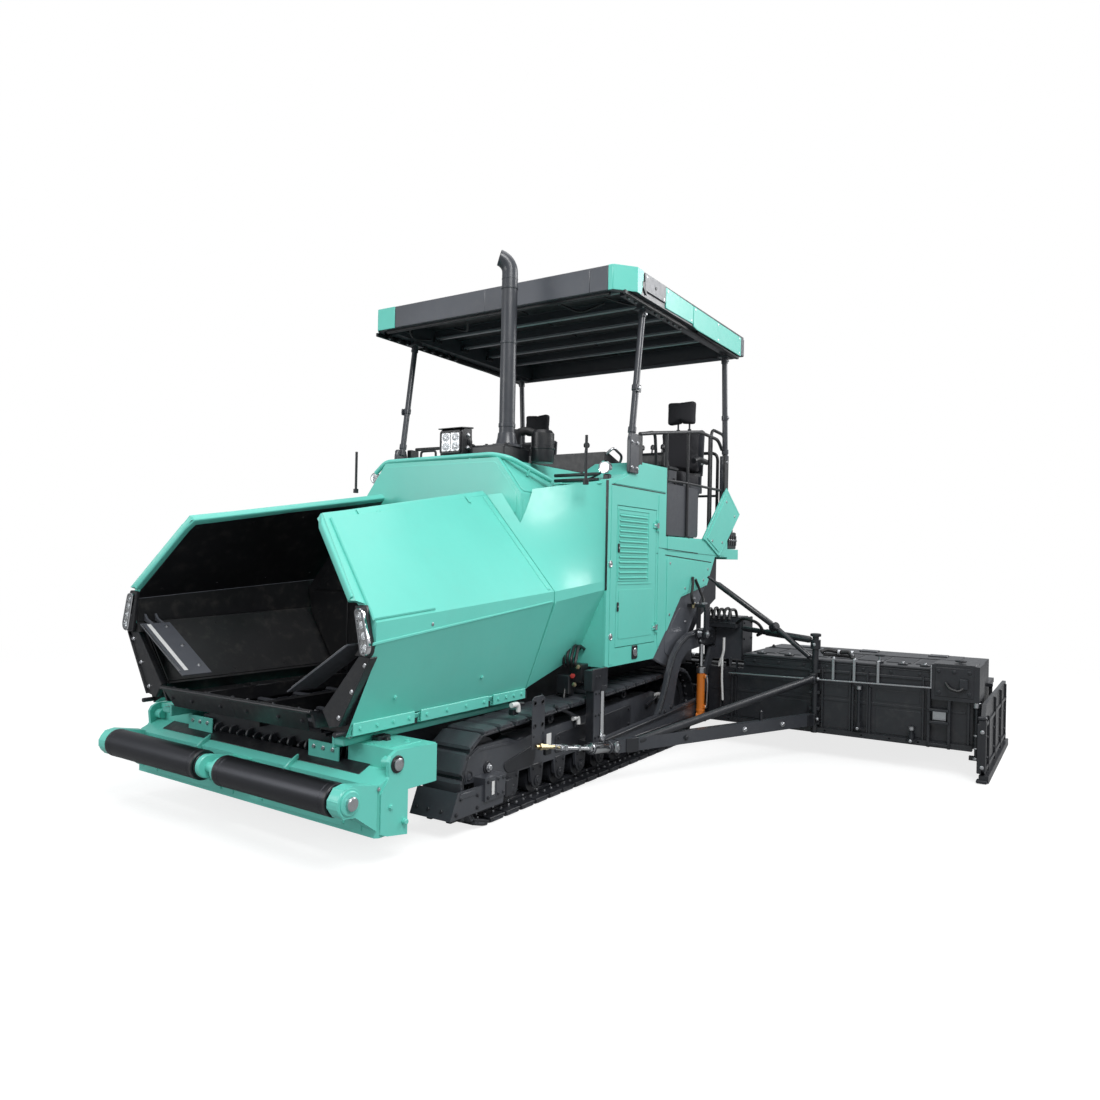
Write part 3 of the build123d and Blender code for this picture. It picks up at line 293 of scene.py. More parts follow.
def rounded(outline, radius, steps=1):
    """The outline with each corner cut by an arc of the radius."""
    points = [Vector(p) for p in outline]
    out = []
    for before, here, after in zip(points[-1:] + points[:-1], points, points[1:] + points[:1]):
        out += [tuple(p) for p in arc(before, here, after, radius, steps)]
    return out


def bar(across, up, radius, steps):
    """A rectangle about the middle with round corners, from its half width and half height."""
    return rounded([(-across, -up), (across, -up), (across, up), (-across, up)], radius, steps)


def ngon(radius, sides):
    angles = [2 * math.pi * k / sides for k in range(sides)]
    return [(radius * math.cos(a), radius * math.sin(a)) for a in angles]


def bent(points, radius, steps=4):
    """A path with its inner corners rounded."""
    points = [Vector(p) for p in points]
    out = [points[0]]
    for before, here, after in zip(points, points[1:], points[2:]):
        out += arc(before, here, after, radius, steps)
    out.append(points[-1])
    return out


def spread(a, b, count):
    """Numbers evenly spread from a to b."""
    return [a + (b - a) * k / (count - 1) for k in range(count)]


class Piece:
    """Shapes gathered in one mesh that rides on a body.

    Side -1 mirrors them to the machine's right, both adds their mirror image, and turn is a
    matrix that moves them all. Materials are numbered in the order given.
    """

    def __init__(self, name, body, *materials, side=1, both=False, turn=None):
        self.name, self.body, self.materials = name, body, materials
        self.side, self.both, self.turn = side, both, turn
        self.verts, self.faces, self.paint = [], [], []

    def add(self, verts, faces, mat=0):
        base = len(self.verts)
        self.verts.extend(verts)
        self.faces.extend([base + i for i in face] for face in faces)
        self.paint.extend([mat] * len(faces))

    def rings(self, rings, mat=0, closed=False):
        """A skin over rings of equal length, capped at both ends unless the rings close."""
        n, m = len(rings[0]), len(rings)
        faces = []
        for a in range(m if closed else m - 1):
            b = (a + 1) % m
            for i in range(n):
                j = (i + 1) % n
                faces.append([a * n + i, a * n + j, b * n + j, b * n + i])
        if not closed:
            faces.append(list(range(n))[::-1])
            faces.append([(m - 1) * n + i for i in range(n)])
        self.add([Vector(p) for ring in rings for p in ring], faces, mat)

    def prism(self, outline, place, a, b, mat=0, edge=0.003, corner=None, steps=1):
        """An outline (u, v) run from a to b along the third direction, all its edges broken."""
        a, b = min(a, b), max(a, b)
        edge = min(edge, (b - a) * 0.4)
        outline = rounded(outline, edge if corner is None else corner, steps)
        inner = shrink(outline, edge)
        self.rings([[place(u, v, a) for u, v in inner], [place(u, v, a + edge) for u, v in outline],
                    [place(u, v, b - edge) for u, v in outline], [place(u, v, b) for u, v in inner]], mat)

    def plate(self, plane, outline, a, b, mat=0, edge=0.003, corner=None, steps=1):
        self.prism(outline, PLANES[plane], a, b, mat, edge, corner, steps)

    def panel(self, plane, u0, u1, v0, v1, a, b, *finish):
        """A rectangular plate between the levels a and b of a plane."""
        self.plate(plane, [(u0, v0), (u1, v0), (u1, v1), (u0, v1)], a, b, *finish)

    def box(self, x0, x1, y0, y1, z0, z1, mat=0, edge=0.003):
        self.panel("xy", x0, x1, y0, y1, z0, z1, mat, edge)

    def slab(self, points, thick, toward, mat=0, edge=0.003, corner=None, steps=1):
        """A flat sheet over 3-D points, its thickness on the side that toward names."""
        points = [Vector(p) for p in points]
        normal = Vector((0, 0, 0))
        for p, q in zip(points, points[1:] + points[:1]):
            normal += p.cross(q)
        normal.normalize()
        if normal.dot(Vector(toward)) < 0:
            normal = -normal
        u = (points[1] - points[0]).normalized()
        v = normal.cross(u).normalized()
        origin = points[0]
        flat = [((p - origin).dot(u), (p - origin).dot(v)) for p in points]
        self.prism(flat, lambda s, t, w: origin + u * s + v * t + normal * w, 0, thick, mat, edge, corner,
                   steps)

    def turned(self, start, end, profile, mat=0, sides=20, closed=False):
        """A turned shape about the line from start to end; profile lists (distance, radius)."""
        start, end = Vector(start), Vector(end)
        axis = (end - start).normalized()
        u = axis.orthogonal().normalized()
        if abs(axis.dot(Z)) < 0.9:
            u = axis.cross(Z).normalized()
        v = axis.cross(u)
        self.rings([[start + axis * d + (u * c + v * s) * r for c, s in ngon(1.0, sides)]
                    for d, r in profile], mat, closed)

    def rod(self, start, end, radius, mat=0, sides=16, edge=0.002):
        length = (Vector(end) - Vector(start)).length
        self.turned(start, end, [(0, radius - edge), (edge, radius), (length - edge, radius),
                                 (length, radius - edge)], mat, sides)

    def ring(self, start, end, outer, inner, mat=0, sides=24, edge=0.002):
        length = (Vector(end) - Vector(start)).length
        self.turned(start, end, [(0, inner + edge), (0, outer - edge), (edge, outer),
                                 (length - edge, outer), (length, outer - edge), (length, inner + edge),
                                 (length - edge, inner), (edge, inner)], mat, sides, closed=True)

    def sweep(self, path, outline, up=(0, 0, 1), mat=0):
        """An outline (side, up) run along a path with mitred corners."""
        path = [Vector(p) for p in path]
        ways = [(b - a).normalized() for a, b in zip(path, path[1:])]
        side = ways[0].cross(Vector(up)).normalized()
        high = side.cross(ways[0]).normalized()
        rings = []
        for i, point in enumerate(path):
            before, after = ways[max(i - 1, 0)], ways[min(i, len(ways) - 1)]
            normal = (before + after).normalized()
            ring = []
            for s, t in outline:
                off = side * s + high * t
                ring.append(point + off - before * (off.dot(normal) / max(before.dot(normal), 0.2)))
            rings.append(ring)
            bend = before.rotation_difference(after)
            side, high = bend @ side, bend @ high
        self.rings(rings, mat)

    def pipe(self, path, radius, mat=0, bend=0.05, sides=10, steps=4):
        self.sweep(bent(path, bend, steps), ngon(radius, sides), (0.13, 0.21, 0.97), mat)

    def bolt(self, at, out, size=0.012, mat=0):
        """A hexagon head on its washer; size is half the width over the corners."""
        at, out = Vector(at), Vector(out).normalized()
        self.turned(at, at + out, [(0, size * 1.35), (size * 0.22, size * 1.35),
                                   (size * 0.3, size * 1.2)], mat, 14)
        self.turned(at, at + out, [(size * 0.25, size), (size * 0.85, size), (size, size * 0.82)],
                    mat, 6)

    def bolts(self, plane, spots, level, out, size=0.012, mat=0):
        """Bolts at the (u, v) spots of a plane."""
        for u, v in spots:
            self.bolt(PLANES[plane](u, v, level), out, size, mat)

    def cap(self, at, out, profile, mat=0, sides=20):
        """A turned shape that stands on a point and looks outwards."""
        self.turned(at, Vector(at) + out, profile, mat, sides)

    def caps(self, plane, spots, level, out, profile, mat=0, sides=20):
        """Equal turned shapes at the (u, v) spots of a plane."""
        for u, v in spots:
            self.cap(PLANES[plane](u, v, level), out, profile, mat, sides)

    def patch(self, surface, corners, low, high, toward, mat=0, cuts=6, edge=0.004):
        """A sheet that follows surface(u, v) between four (u, v) corners, from low to high above it."""
        corners = [Vector(c) for c in corners]
        toward = Vector(toward)

        def at(s, t, lift):
            lower = corners[0] * (1 - s) + corners[1] * s
            upper = corners[3] * (1 - s) + corners[2] * s
            uv = lower * (1 - t) + upper * t
            here = surface(uv.x, uv.y)
            along, up = surface(uv.x + 0.01, uv.y) - here, surface(uv.x, uv.y + 0.01) - here
            normal = along.cross(up).normalized()
            if normal.dot(toward) < 0:
                normal = -normal
            return here + normal * lift

        def world(a, b):
            return (surface(corners[b].x, corners[b].y) - surface(corners[a].x, corners[a].y)).length

        ds, dt = edge / world(0, 1), edge / world(1, 2)
        count = cuts + 1
        verts, faces = [], []
        for lift, inset in ((low, 0.0), (high - edge, 0.0), (high, 1.0)):
            for j in range(count):
                for i in range(count):
                    s, t = i / cuts, j / cuts
                    s, t = s + inset * ds * (1 - 2 * s), t + inset * dt * (1 - 2 * t)
                    verts.append(at(s, t, lift))
        layer = count * count
        border = ([(i, 0) for i in range(cuts)] + [(cuts, j) for j in range(cuts)]
                  + [(i, cuts) for i in range(cuts, 0, -1)] + [(0, j) for j in range(cuts, 0, -1)])
        border = [j * count + i for i, j in border]
        for level in (0, layer):
            for a, b in zip(border, border[1:] + border[:1]):
                faces.append([level + a, level + b, level + layer + b, level + layer + a])
        for j in range(cuts):
            for i in range(cuts):
                q = [j * count + i, j * count + i + 1, (j + 1) * count + i + 1, (j + 1) * count + i]
                faces.append(q[::-1])
                faces.append([2 * layer + k for k in q])
        used = sorted({k for face in faces for k in face})
        index = {k: n for n, k in enumerate(used)}
        self.add([verts[k] for k in used], [[index[k] for k in face] for face in faces], mat)

    def done(self, slot, replaces=(), smooth=32):
        """Makes the object, joins it to its body and gives it its finish."""
        verts, faces, paint = self.verts, self.faces, self.paint
        if self.both:
            base = len(verts)
            verts = verts + [Vector((v.x, -v.y, v.z)) for v in verts]
            faces = faces + [[base + i for i in face] for face in faces]
            paint = paint + paint
        elif self.side < 0:
            verts = [Vector((v.x, -v.y, v.z)) for v in verts]
        if self.turn:
            verts = [self.turn @ v for v in verts]
        mesh = bpy.data.meshes.new(self.name)
        mesh.from_pydata(verts, [], faces)
        for mat in self.materials:
            mesh.materials.append(mat)
        mesh.polygons.foreach_set("material_index", paint)
        built = bmesh.new()
        built.from_mesh(mesh)
        bmesh.ops.recalc_face_normals(built, faces=built.faces)
        built.to_mesh(mesh)
        built.free()
        mesh.polygons.foreach_set("use_smooth", [True] * len(mesh.polygons))
        mesh.set_sharp_from_angle(angle=math.radians(smooth))
        obj = bpy.data.objects.new(self.name, mesh)
        bpy.context.scene.collection.objects.link(obj)
        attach(obj, self.body)
        if replaces:
            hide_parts(*replaces)


# ---------------------------------------------------------------- tracks
IDLER, SPROCKET = (1.77, 0.3), (-1.06, 0.35)
SHOES = 45
CARRIER = 1.097  # outer face of the track's side beam
AXLES = IDLER[0] - SPROCKET[0]
TILT = 2 * math.atan2(SPROCKET[1] - IDLER[1], AXLES)
REAR_ARC = SPROCKET[1] * (math.pi + TILT)
FRONT_ARC = IDLER[1] * (math.pi - TILT)
PITCH = (2 * AXLES + REAR_ARC + FRONT_ARC) / SHOES


def run_point(s):
    """Point and heading on the track's ground face, s along the loop from the front axle."""
    if s < AXLES:
        return IDLER[0] - s, 0.0, math.pi
    s -= AXLES
    r = SPROCKET[1]
    if s < REAR_ARC:
        a = s / r
        return SPROCKET[0] - r * math.sin(a), r - r * math.cos(a), math.pi - a
    s -= REAR_ARC
    if s < AXLES:
        a = math.pi + TILT
        return (SPROCKET[0] - r * math.sin(a) + s * math.cos(TILT),
                r - r * math.cos(a) - s * math.sin(TILT), -TILT)
    a = (s - AXLES) / IDLER[1]
    return IDLER[0] + IDLER[1] * math.sin(a + TILT), IDLER[1] * (1 + math.cos(a + TILT)), -TILT - a


def track(side, tag):
    belt = Piece("track_shoes_" + tag, "tractor", TRACK, CAST, STEEL, side=side)
    half = (PITCH - 0.014) / 2
    pad = [(-half + 0.007, 0.013), (-half + 0.022, 0.0), (half - 0.022, 0.0), (half - 0.007, 0.013),
           (half - 0.007, 0.027), (-half + 0.007, 0.027)]
    tip = [(-half + 0.016, 0.013), (-half + 0.02, 0.010), (half - 0.02, 0.010), (half - 0.016, 0.013),
           (half - 0.012, 0.027), (-half + 0.012, 0.027)]
    link = [(-0.088, 0.042), (0.062, 0.042), (0.078, 0.048), (0.078, 0.058), (0.062, 0.064), (-0.088, 0.064)]
    for k in range(SHOES):
        px, pz, heading = run_point((k + 0.5) * PITCH)
        dx, dz = math.cos(heading), math.sin(heading)

        def place(along, inward, y, px=px, pz=pz, dx=dx, dz=dz):
            return Vector((px + along * dx + inward * dz, y, pz + along * dz - inward * dx))

        belt.rings([[place(a, b, y) for a, b in ring] for ring, y in ((tip, 0.848), (pad, 0.872),
                        (pad, 1.123), (tip, 1.147))], 0)
        belt.prism([(-half, 0.028), (half, 0.028), (half, 0.041), (-half, 0.041)], place, 0.846, 1.149, 1,
                   0.003)
        for along in (-0.042, 0.042):
            for y in (0.852, 1.131):
                belt.prism([(along - 0.013, 0.012), (along + 0.013, 0.012), (along + 0.013, 0.030),
                            (along - 0.013, 0.030)], place, y, y + 0.017, 1, 0.003)
            for y in (0.905, 1.075):
                belt.bolt(place(along, 0.041, y), place(along, 0.06, y) - place(along, 0.041, y), 0.009, 2)
        for y in (0.955, 1.006):
            belt.prism(link, place, y, y + 0.016, 1, 0.003)
            belt.prism([(-a, b) for a, b in link], place, y + 0.019, y + 0.035, 1, 0.003)
        belt.rod(place(-PITCH / 2, 0.053, 0.948), place(-PITCH / 2, 0.053, 1.048), 0.009, 2, 10)
    belt.done("shoe_rubber", ("track_" + tag,), 28)


def track_dress(side, tag):
    gear = Piece("track_fittings_" + tag, "tractor", CAST, STEEL, ANTHRACITE, LABEL, side=side)
    # carrier plate: sight hole, pivot bolt, stiffening strips and cover plates
    gear.ring((1.918, CARRIER - 0.004, 0.326), (1.918, CARRIER + 0.005, 0.326), 0.032, 0.021, 0)
    gear.cap((1.918, CARRIER - 0.004, 0.326), Y, [(0, 0.021), (0.002, 0.021)], 2, 20)
    gear.cap((1.738, CARRIER - 0.002, 0.343), Y, [(0, 0.040), (0.008, 0.040), (0.010, 0.037),
                 (0.010, 0.030), (0.016, 0.028), (0.018, 0.02)], 0, 24)
    gear.bolt((1.738, CARRIER + 0.012, 0.343), Y, 0.019, 1)
    gear.slab([(1.955, CARRIER, 0.292), (1.968, CARRIER, 0.368), (1.918, CARRIER, 0.445),
               (1.836, CARRIER, 0.478), (1.45, CARRIER, 0.462), (1.45, CARRIER, 0.445),
               (1.83, CARRIER, 0.46), (1.905, CARRIER, 0.43), (1.952, CARRIER, 0.364),
               (1.94, CARRIER, 0.294)], 0.005, Y, 2, 0.002)
    gear.plate("xz", [(1.20, 0.300), (1.24, 0.262), (1.52, 0.262), (1.56, 0.300), (1.56, 0.335),
                      (1.20, 0.40)], CARRIER - 0.001, CARRIER + 0.006, 0, 0.002, 0.02, 3)
    gear.plate("xz", [(-0.20, 0.30), (0.95, 0.285), (0.95, 0.42), (-0.20, 0.48)], CARRIER - 0.001,
               CARRIER + 0.005, 0, 0.002, 0.03, 3)
    gear.bolts("xz", ((-0.16, 0.33), (-0.16, 0.45), (0.91, 0.315), (0.91, 0.39), (0.4, 0.31),
                      (0.4, 0.43)), CARRIER + 0.004, Y, 0.011, 0)
    # rollers: bracket arches, hub caps and their bolts
    for k in range(8):
        x = 1.465 - 0.291 * k
        z = 0.1453
        arch = [(x - 0.062, 0.262), (x - 0.062, z)]
        arch += [(x - 0.062 * math.cos(a), z - 0.052 * math.sin(a)) for a in (0.5, 1.05, 1.57, 2.09, 2.64)]
        arch += [(x + 0.062, z), (x + 0.062, 0.262)]
        gear.plate("xz", arch, CARRIER - 0.012, CARRIER + 0.004, 0, 0.003, 0.003)
        gear.cap((x, CARRIER, z), Y, [(0, 0.036), (0.010, 0.036), (0.014, 0.030), (0.014, 0.020),
                                      (0.020, 0.017), (0.022, 0.010)], 0, 20)
        for bx in (-0.046, 0.046):
            gear.bolt((x + bx, CARRIER + 0.003, 0.232), Y, 0.010, 0)
        for y in (0.945, 1.045):
            gear.ring((x, y - 0.006, z), (x, y + 0.006, z), 0.0795, 0.06, 0, 32)
    # guard: bars under it, bolts and the box with its blank label
    guard = 1.172
    gear.bolts("xz", ((2.09, 0.235), (2.13, 0.15), (1.93, 0.225), (1.93, 0.15)), guard, Y, 0.010, 0)
    gear.plate("xz", [(1.955, 0.262), (2.09, 0.266), (2.105, 0.235), (1.955, 0.23)], guard - 0.001,
               guard + 0.005, 2, 0.002)
    gear.box(1.672, 1.76, 1.184, 1.190, 0.178, 0.302, 2, 0.002)
    gear.bolts("xz", ((1.69, 0.195), (1.69, 0.286), (1.742, 0.195), (1.742, 0.286), (1.84, 0.286),
                      (1.84, 0.19)), 1.186, Y, 0.010, 0)
    gear.box(1.775, 1.812, 1.185, 1.1885, 0.185, 0.295, 2, 0.001)
    gear.box(1.780, 1.807, 1.188, 1.1895, 0.20, 0.282, 3, 0.0005)
    gear.box(1.55, 1.63, 1.10, 1.17, 0.14, 0.25, 0, 0.006)
    gear.box(2.02, 2.06, 0.87, 1.15, 0.086, 0.118, 0, 0.004)
    for y in (0.93, 1.08):
        gear.box(2.0, 2.09, y - 0.02, y + 0.02, 0.075, 0.128, 0, 0.004)
    for y in (0.90, 0.99, 1.09):
        gear.bolt((2.163, y, 0.165), (0.9, 0, 0.4), 0.010, 0)
    # spring yoke with grease points, then a ring with bolts on idler and sprocket
    gear.box(1.30, 1.70, 0.955, 1.035, 0.32, 0.41, 0, 0.006)
    for z in (0.395, 0.43):
        gear.rod((1.99, 1.07, z), (2.03, 1.075, z), 0.008, 1, 10)
    for (x, z), r in ((IDLER, 0.2), (SPROCKET, 0.24)):
        gear.ring((x, 1.045, z), (x, 1.062, z), r, r - 0.02, 0, 48)
        for a in range(10):
            t = a * math.pi / 5
            gear.bolt((x + 0.11 * math.cos(t), 1.046, z + 0.11 * math.sin(t)), Y, 0.012, 0)
    # tie rods with their pale ends
    for a, b, pale in (((1.46, 1.13, 0.706), (1.40, 1.13, 0.70), 0),
                       ((1.02, 1.13, 0.632), (0.672, 1.12, 0.505), 1),
                       ((-0.45, 1.12, 0.44), (-0.698, 1.12, 0.508), 1)):
        gear.rod(a, b, 0.013, 0, 12)
        end = Vector((a, b)[pale])
        gear.pipe([end + X * 0.075, end, end + Vector((-0.004, 0, -0.05))], 0.0165, 3, 0.02, 12)
        gear.box(end.x - 0.03, end.x + 0.03, 1.075, 1.115, end.z - 0.075, end.z - 0.035, 0, 0.004)
    # drilled plate's own bolts
    gear.bolts("xz", ((1.27, 0.72), (1.38, 0.72), (1.27, 0.44), (1.27, 0.50), (1.38, 0.49), (1.38, 0.55)),
               1.2, Y, 0.009, 0)
    gear.done("track_black")


for side, tag in SIDES:
    track(side, tag)
    track_dress(side, tag)

# ---------------------------------------------------------------- push beam and rollers
pivot = Matrix.Translation((2.44, 0, 0))
rock = pivot @ Matrix.Rotation(math.radians(-2), 4, "Z") @ pivot.inverted()
beam = Piece("push_beam_fittings", "push_beam", MINT, STEEL, BLACK, both=True, turn=rock)
beam.cap((2.576, 1.158, 0.54), Y, [(0, 0.047), (0.008, 0.047), (0.011, 0.043)], 2, 28)
beam.cap((2.576, 1.164, 0.54), Y, [(0, 0.034), (0.014, 0.034), (0.018, 0.028), (0.019, 0.012)], 1, 24)
beam.rod((2.52, 1.158, 0.222), (2.52, 1.186, 0.222), 0.016, 0, 14, 0.004)
beam.cap((2.896, 1.149, 0.399), Y, [(0, 0.064), (0.008, 0.064), (0.012, 0.058)], 0, 32)
beam.cap((2.896, 1.16, 0.399), Y, [(0, 0.036), (0.016, 0.036), (0.021, 0.030)], 1, 28)
beam.cap((2.896, 0.092, 0.399), -Y, [(0, 0.032), (0.002, 0.032), (0.036, 0.032), (0.040, 0.026)], 1, 24)
for y0, y1 in ((1.059, 1.069), (0.091, 0.101)):
    beam.ring((2.896, y0, 0.399), (2.896, y1, 0.399), 0.073, 0.033, 2, 32)
beam.box(2.596, 2.604, 0.47, 0.73, 0.47, 0.585, 0, 0.002)
for y in (0.52, 0.60, 0.68):
    beam.bolt((2.604, y, 0.55), X, 0.010, 1)
beam.rod((2.896, 1.072, 0.399), (2.896, 1.152, 0.399), 0.081, 0, 44, 0.006)
beam.rod((2.896, 0.050, 0.399), (2.896, 0.089, 0.399), 0.070, 0, 40, 0.005)
beam.slab([(2.652, 0.0, 0.4665), (2.652, 0.95, 0.4665), (2.570, 0.95, 0.5045), (2.570, 0.0, 0.5045)],
          0.004, Z, 2, 0.001)
for y in (1.02, 0.86):
    beam.bolt((2.36, y, 0.605), Z, 0.014, 0)
beam.panel("xy", 2.30, 2.53, 0.80, 1.08, 0.603, 0.609, 0, 0.002, 0.02, 3)
beam.panel("yz", 0.08, 1.04, 0.19, 0.24, 2.706, 2.713, 0, 0.002, 0.01, 2)
beam.plate("yz", [(0.14, 0.262), (0.16, 0.25), (0.98, 0.25), (1.0, 0.262), (1.0, 0.275), (0.14, 0.275)],
           2.706, 2.716, 0, 0.002)
for y in (0.20, 0.90):
    beam.bolt((2.712, y, 0.215), X, 0.010, 0)
beam.plate("xz", [(2.69, 0.29), (2.712, 0.32), (2.74, 0.44), (2.70, 0.47), (2.64, 0.50), (2.64, 0.46)],
           0.42, 0.436, 0, 0.003)
beam.bolt((2.70, 1.152, 0.43), Y, 0.008, 1)
beam.bolt((2.62, 1.160, 0.32), Y, 0.012, 0)
beam.done("mint")

for side, tag in SIDES:
    roll = Piece("roller_shell_" + tag, "push_roller_" + tag, ROLLER, BLACK, side=side, turn=rock)
    for y in (0.112, 1.048):
        roll.ring((2.896, y - 0.011, 0.399), (2.896, y + 0.011, 0.399), 0.0885, 0.045, 1, 48)
    for y in (0.15, 1.01):
        roll.ring((2.896, y - 0.003, 0.399), (2.896, y + 0.003, 0.399), 0.0884, 0.07, 0, 48, 0.001)
    roll.done("bare_steel")

# ---------------------------------------------------------------- hopper wings
SECTION = {"sill": ((0.884, 0.664), (0.884, 0.664)), "crease": ((1.136, 1.18), (1.136, 1.357)),
           "shoulder": ((1.136, 1.3), (1.136, 1.431)), "rim_out": ((0.622, 1.868), (0.52, 2.128)),
           "rim_in": ((0.588, 1.838), (0.486, 2.098)), "inner_crease": ((1.046, 1.336), (1.046, 1.468)),
           "inner_band": ((1.03, 1.18), (1.03, 1.24)), "lip": ((0.738, 0.802), (0.738, 0.802)),}
WING_FRONT, WING_REAR = 2.822, 1.06


def wing_face(low_edge, high_edge):
    """A face of the wing as surface(x, t), t from its lower to its upper edge."""
    def surface(x, t):
        share = (WING_FRONT - x) / (WING_FRONT - WING_REAR)
        a, b = ([p + (q - p) * share for p, q in zip(*SECTION[name])] for name in (low_edge, high_edge))
        return Vector((x, a[0] + (b[0] - a[0]) * t, a[1] + (b[1] - a[1]) * t))
    return surface


outer_upper = wing_face("shoulder", "rim_out")
outer_band = wing_face("crease", "shoulder")
outer_lower = wing_face("sill", "crease")
inner_upper = wing_face("inner_crease", "rim_in")
inner_band = wing_face("inner_band", "inner_crease")
inner_lower = wing_face("lip", "inner_band")


def wing(side, tag):
    body = "wing_" + tag
    rim = Piece("wing_rim_" + tag, body, MINT, STEEL, side=side)
    beam_edge = bar(0.027, 0.024, 0.013, 3)
    rim.sweep([(1.064, 0.503, 2.113), (2.664, 0.604, 1.857), (2.693, 0.64, 1.81), (2.799, 0.992, 1.42)],
              beam_edge, (0, 0.67, 0.74))
    for x0, x1 in ((2.40, 2.425), (1.30, 1.325)):
        a, b = outer_upper(x0, 1.0), outer_upper(x1, 1.0)
        rim.slab([a + Vector((0, 0.006, -0.004)), b + Vector((0, 0.006, -0.004)),
                  b + Vector((0, 0.05, -0.052)), a + Vector((0, 0.05, -0.052))], 0.006, (0, 0.7, 0.7), 0,
                 0.002)
    # raised cover, plug, stiffening creases and edge seams of the outer skin
    rim.patch(outer_upper, [(2.79, 0.02), (2.30, 0.02), (2.03, 0.94), (2.66, 0.94)], 0.0, 0.014,
              (0, 1, 1), 0, 6, 0.006)
    plug = outer_upper(2.24, 0.93)
    rim.turned(plug, plug + Vector((0, 0.74, 0.67)), [(0, 0.026), (0.005, 0.026), (0.008, 0.02),
                   (0.008, 0.012), (0.003, 0.01)], 0, 24)
    rim.patch(outer_upper, [(1.12, 0.02), (1.09, 0.02), (1.09, 0.97), (1.12, 0.97)], 0.0, 0.006,
              (0, 1, 1), 0, 3, 0.002)
    rim.patch(outer_band, [(2.80, 0.02), (1.08, 0.02), (1.08, 0.16), (2.80, 0.16)], 0.0, 0.005, (0, 1, 0),
              0, 4, 0.002)
    rim.patch(outer_lower, [(2.72, 0.06), (1.08, 0.06), (1.08, 0.11), (2.72, 0.11)], 0.0, 0.006,
              (0, 1, -0.3), 0, 4, 0.002)
    hole = outer_band(2.33, 0.4)
    rim.turned(hole, hole + Y, [(-0.004, 0.010), (0.003, 0.010), (0.004, 0.008)], 1, 14)
    for x in (2.45, 1.65):
        p = outer_lower(x, 0.35)
        rim.bolt(p, (0, 0.9, -0.43), 0.011, 0)
    # flange and hinge tube along the sill, open where the hull's hinge arms pass
    for x0, x1 in ((1.08, 1.452), (1.508, 2.172), (2.228, 2.72)):
        rim.plate("yz", [(0.920, 0.745), (0.927, 0.742), (0.927, 0.674), (0.888, 0.664), (0.884, 0.672),
                         (0.916, 0.682)], x0, x1, 0, 0.002)
        rim.ring((x0, 0.88, 0.69), (x1, 0.88, 0.69), 0.024, 0.0155, 0, 20)
        for x in spread(x0 + 0.05, x1 - 0.05, 4):
            rim.bolt((x, 0.926, 0.71), Y, 0.010, 0)
    rim.done("mint")

    lining = Piece("wing_lining_" + tag, body, LINER, GREY, side=side)
    lining.patch(inner_upper, [(2.785, 0.01), (1.07, 0.01), (1.07, 0.97), (2.655, 0.97)], 0.0, 0.004,
                 (0, -1, -1), 0, 8, 0.002)
    lining.patch(inner_band, [(2.765, 0.02), (1.07, 0.02), (1.07, 0.98), (2.765, 0.98)], 0.0, 0.004,
                 (0, -1, 0), 0, 8, 0.002)
    lining.patch(inner_lower, [(2.725, 0.03), (1.07, 0.03), (1.07, 0.98), (2.725, 0.98)], 0.0, 0.006,
                 (0, -1, 1), 0, 8, 0.002)
    seam = [inner_upper(x, 0.0) + Vector((0, -0.007, -0.002)) for x in (2.775, 2.2, 1.6, 1.08)]
    lining.sweep(seam, ngon(0.003, 6), mat=1)
    for x in (2.62, 2.2, 1.78, 1.36):
        for t in (0.10, 0.88):
            p = inner_upper(x, t)
            lining.turned(p, p + Vector((0, -0.74, -0.67)),
                          [(0.002, 0.011), (0.006, 0.010), (0.007, 0.006)], 0, 12)
        for t in (0.12, 0.88):
            p = inner_lower(x, t)
            lining.turned(p, p + Vector((0, -0.79, 0.61)),
                          [(0.004, 0.012), (0.008, 0.011), (0.009, 0.006)], 0, 12)
    lining.done("black_paint")

    unit = Piece("wing_lamp_unit_" + tag, body, BLACK, LENS, CHROME, GREY, LABEL, STEEL, side=side)
    shell = [(0.996, 1.388), (1.078, 1.394), (1.130, 1.180), (1.130, 1.150), (1.110, 1.122), (1.040, 1.122)]
    window = [(1.026, 1.362), (1.062, 1.362), (1.112, 1.178), (1.108, 1.152), (1.092, 1.140), (1.074, 1.146)]
    unit.plate("yz", shell, 2.775, 2.797, 0, 0.004, 0.012, 3)
    hood_in = shrink(rounded(window, 0.012, 3), -0.014)
    clear = rounded(window, 0.012, 3)
    rings = []
    for x, outline in ((2.796, hood_in), (2.815, hood_in), (2.820, shrink(hood_in, 0.004)),
                       (2.820, shrink(clear, -0.001)), (2.800, clear), (2.796, clear)):
        rings.append([(x, y, z) for y, z in outline])
    unit.rings(rings, 2, closed=True)
    unit.plate("yz", shrink(window, 0.001), 2.811, 2.818, 1, 0.002, 0.012, 3)
    for y, z, r in ((1.090, 1.168, 0.020), (1.077, 1.232, 0.019), (1.062, 1.290, 0.018),
                    (1.048, 1.338, 0.015)):
        unit.cap((2.797, y, z), X, [(0, r), (0.010, r), (0.011, r - 0.003), (0.004, r * 0.45),
                                    (0.003, r * 0.3), (0.008, r * 0.25)], 2, 20)
    unit.plate("yz", [(1.106, 1.121), (1.012, 1.121), (0.742, 0.800), (0.800, 0.712), (0.882, 0.730)],
               2.735, 2.775, 0, 0.004)
    unit.plate("yz", [(1.112, 1.119), (1.104, 1.121), (0.876, 0.732), (0.886, 0.730)], 2.735, 2.790, 0,
               0.002)
    for t in (0.08, 0.5, 0.92):
        unit.bolt((2.775, 1.078 - 0.222 * t, 1.10 - 0.352 * t), X, 0.010, 5)
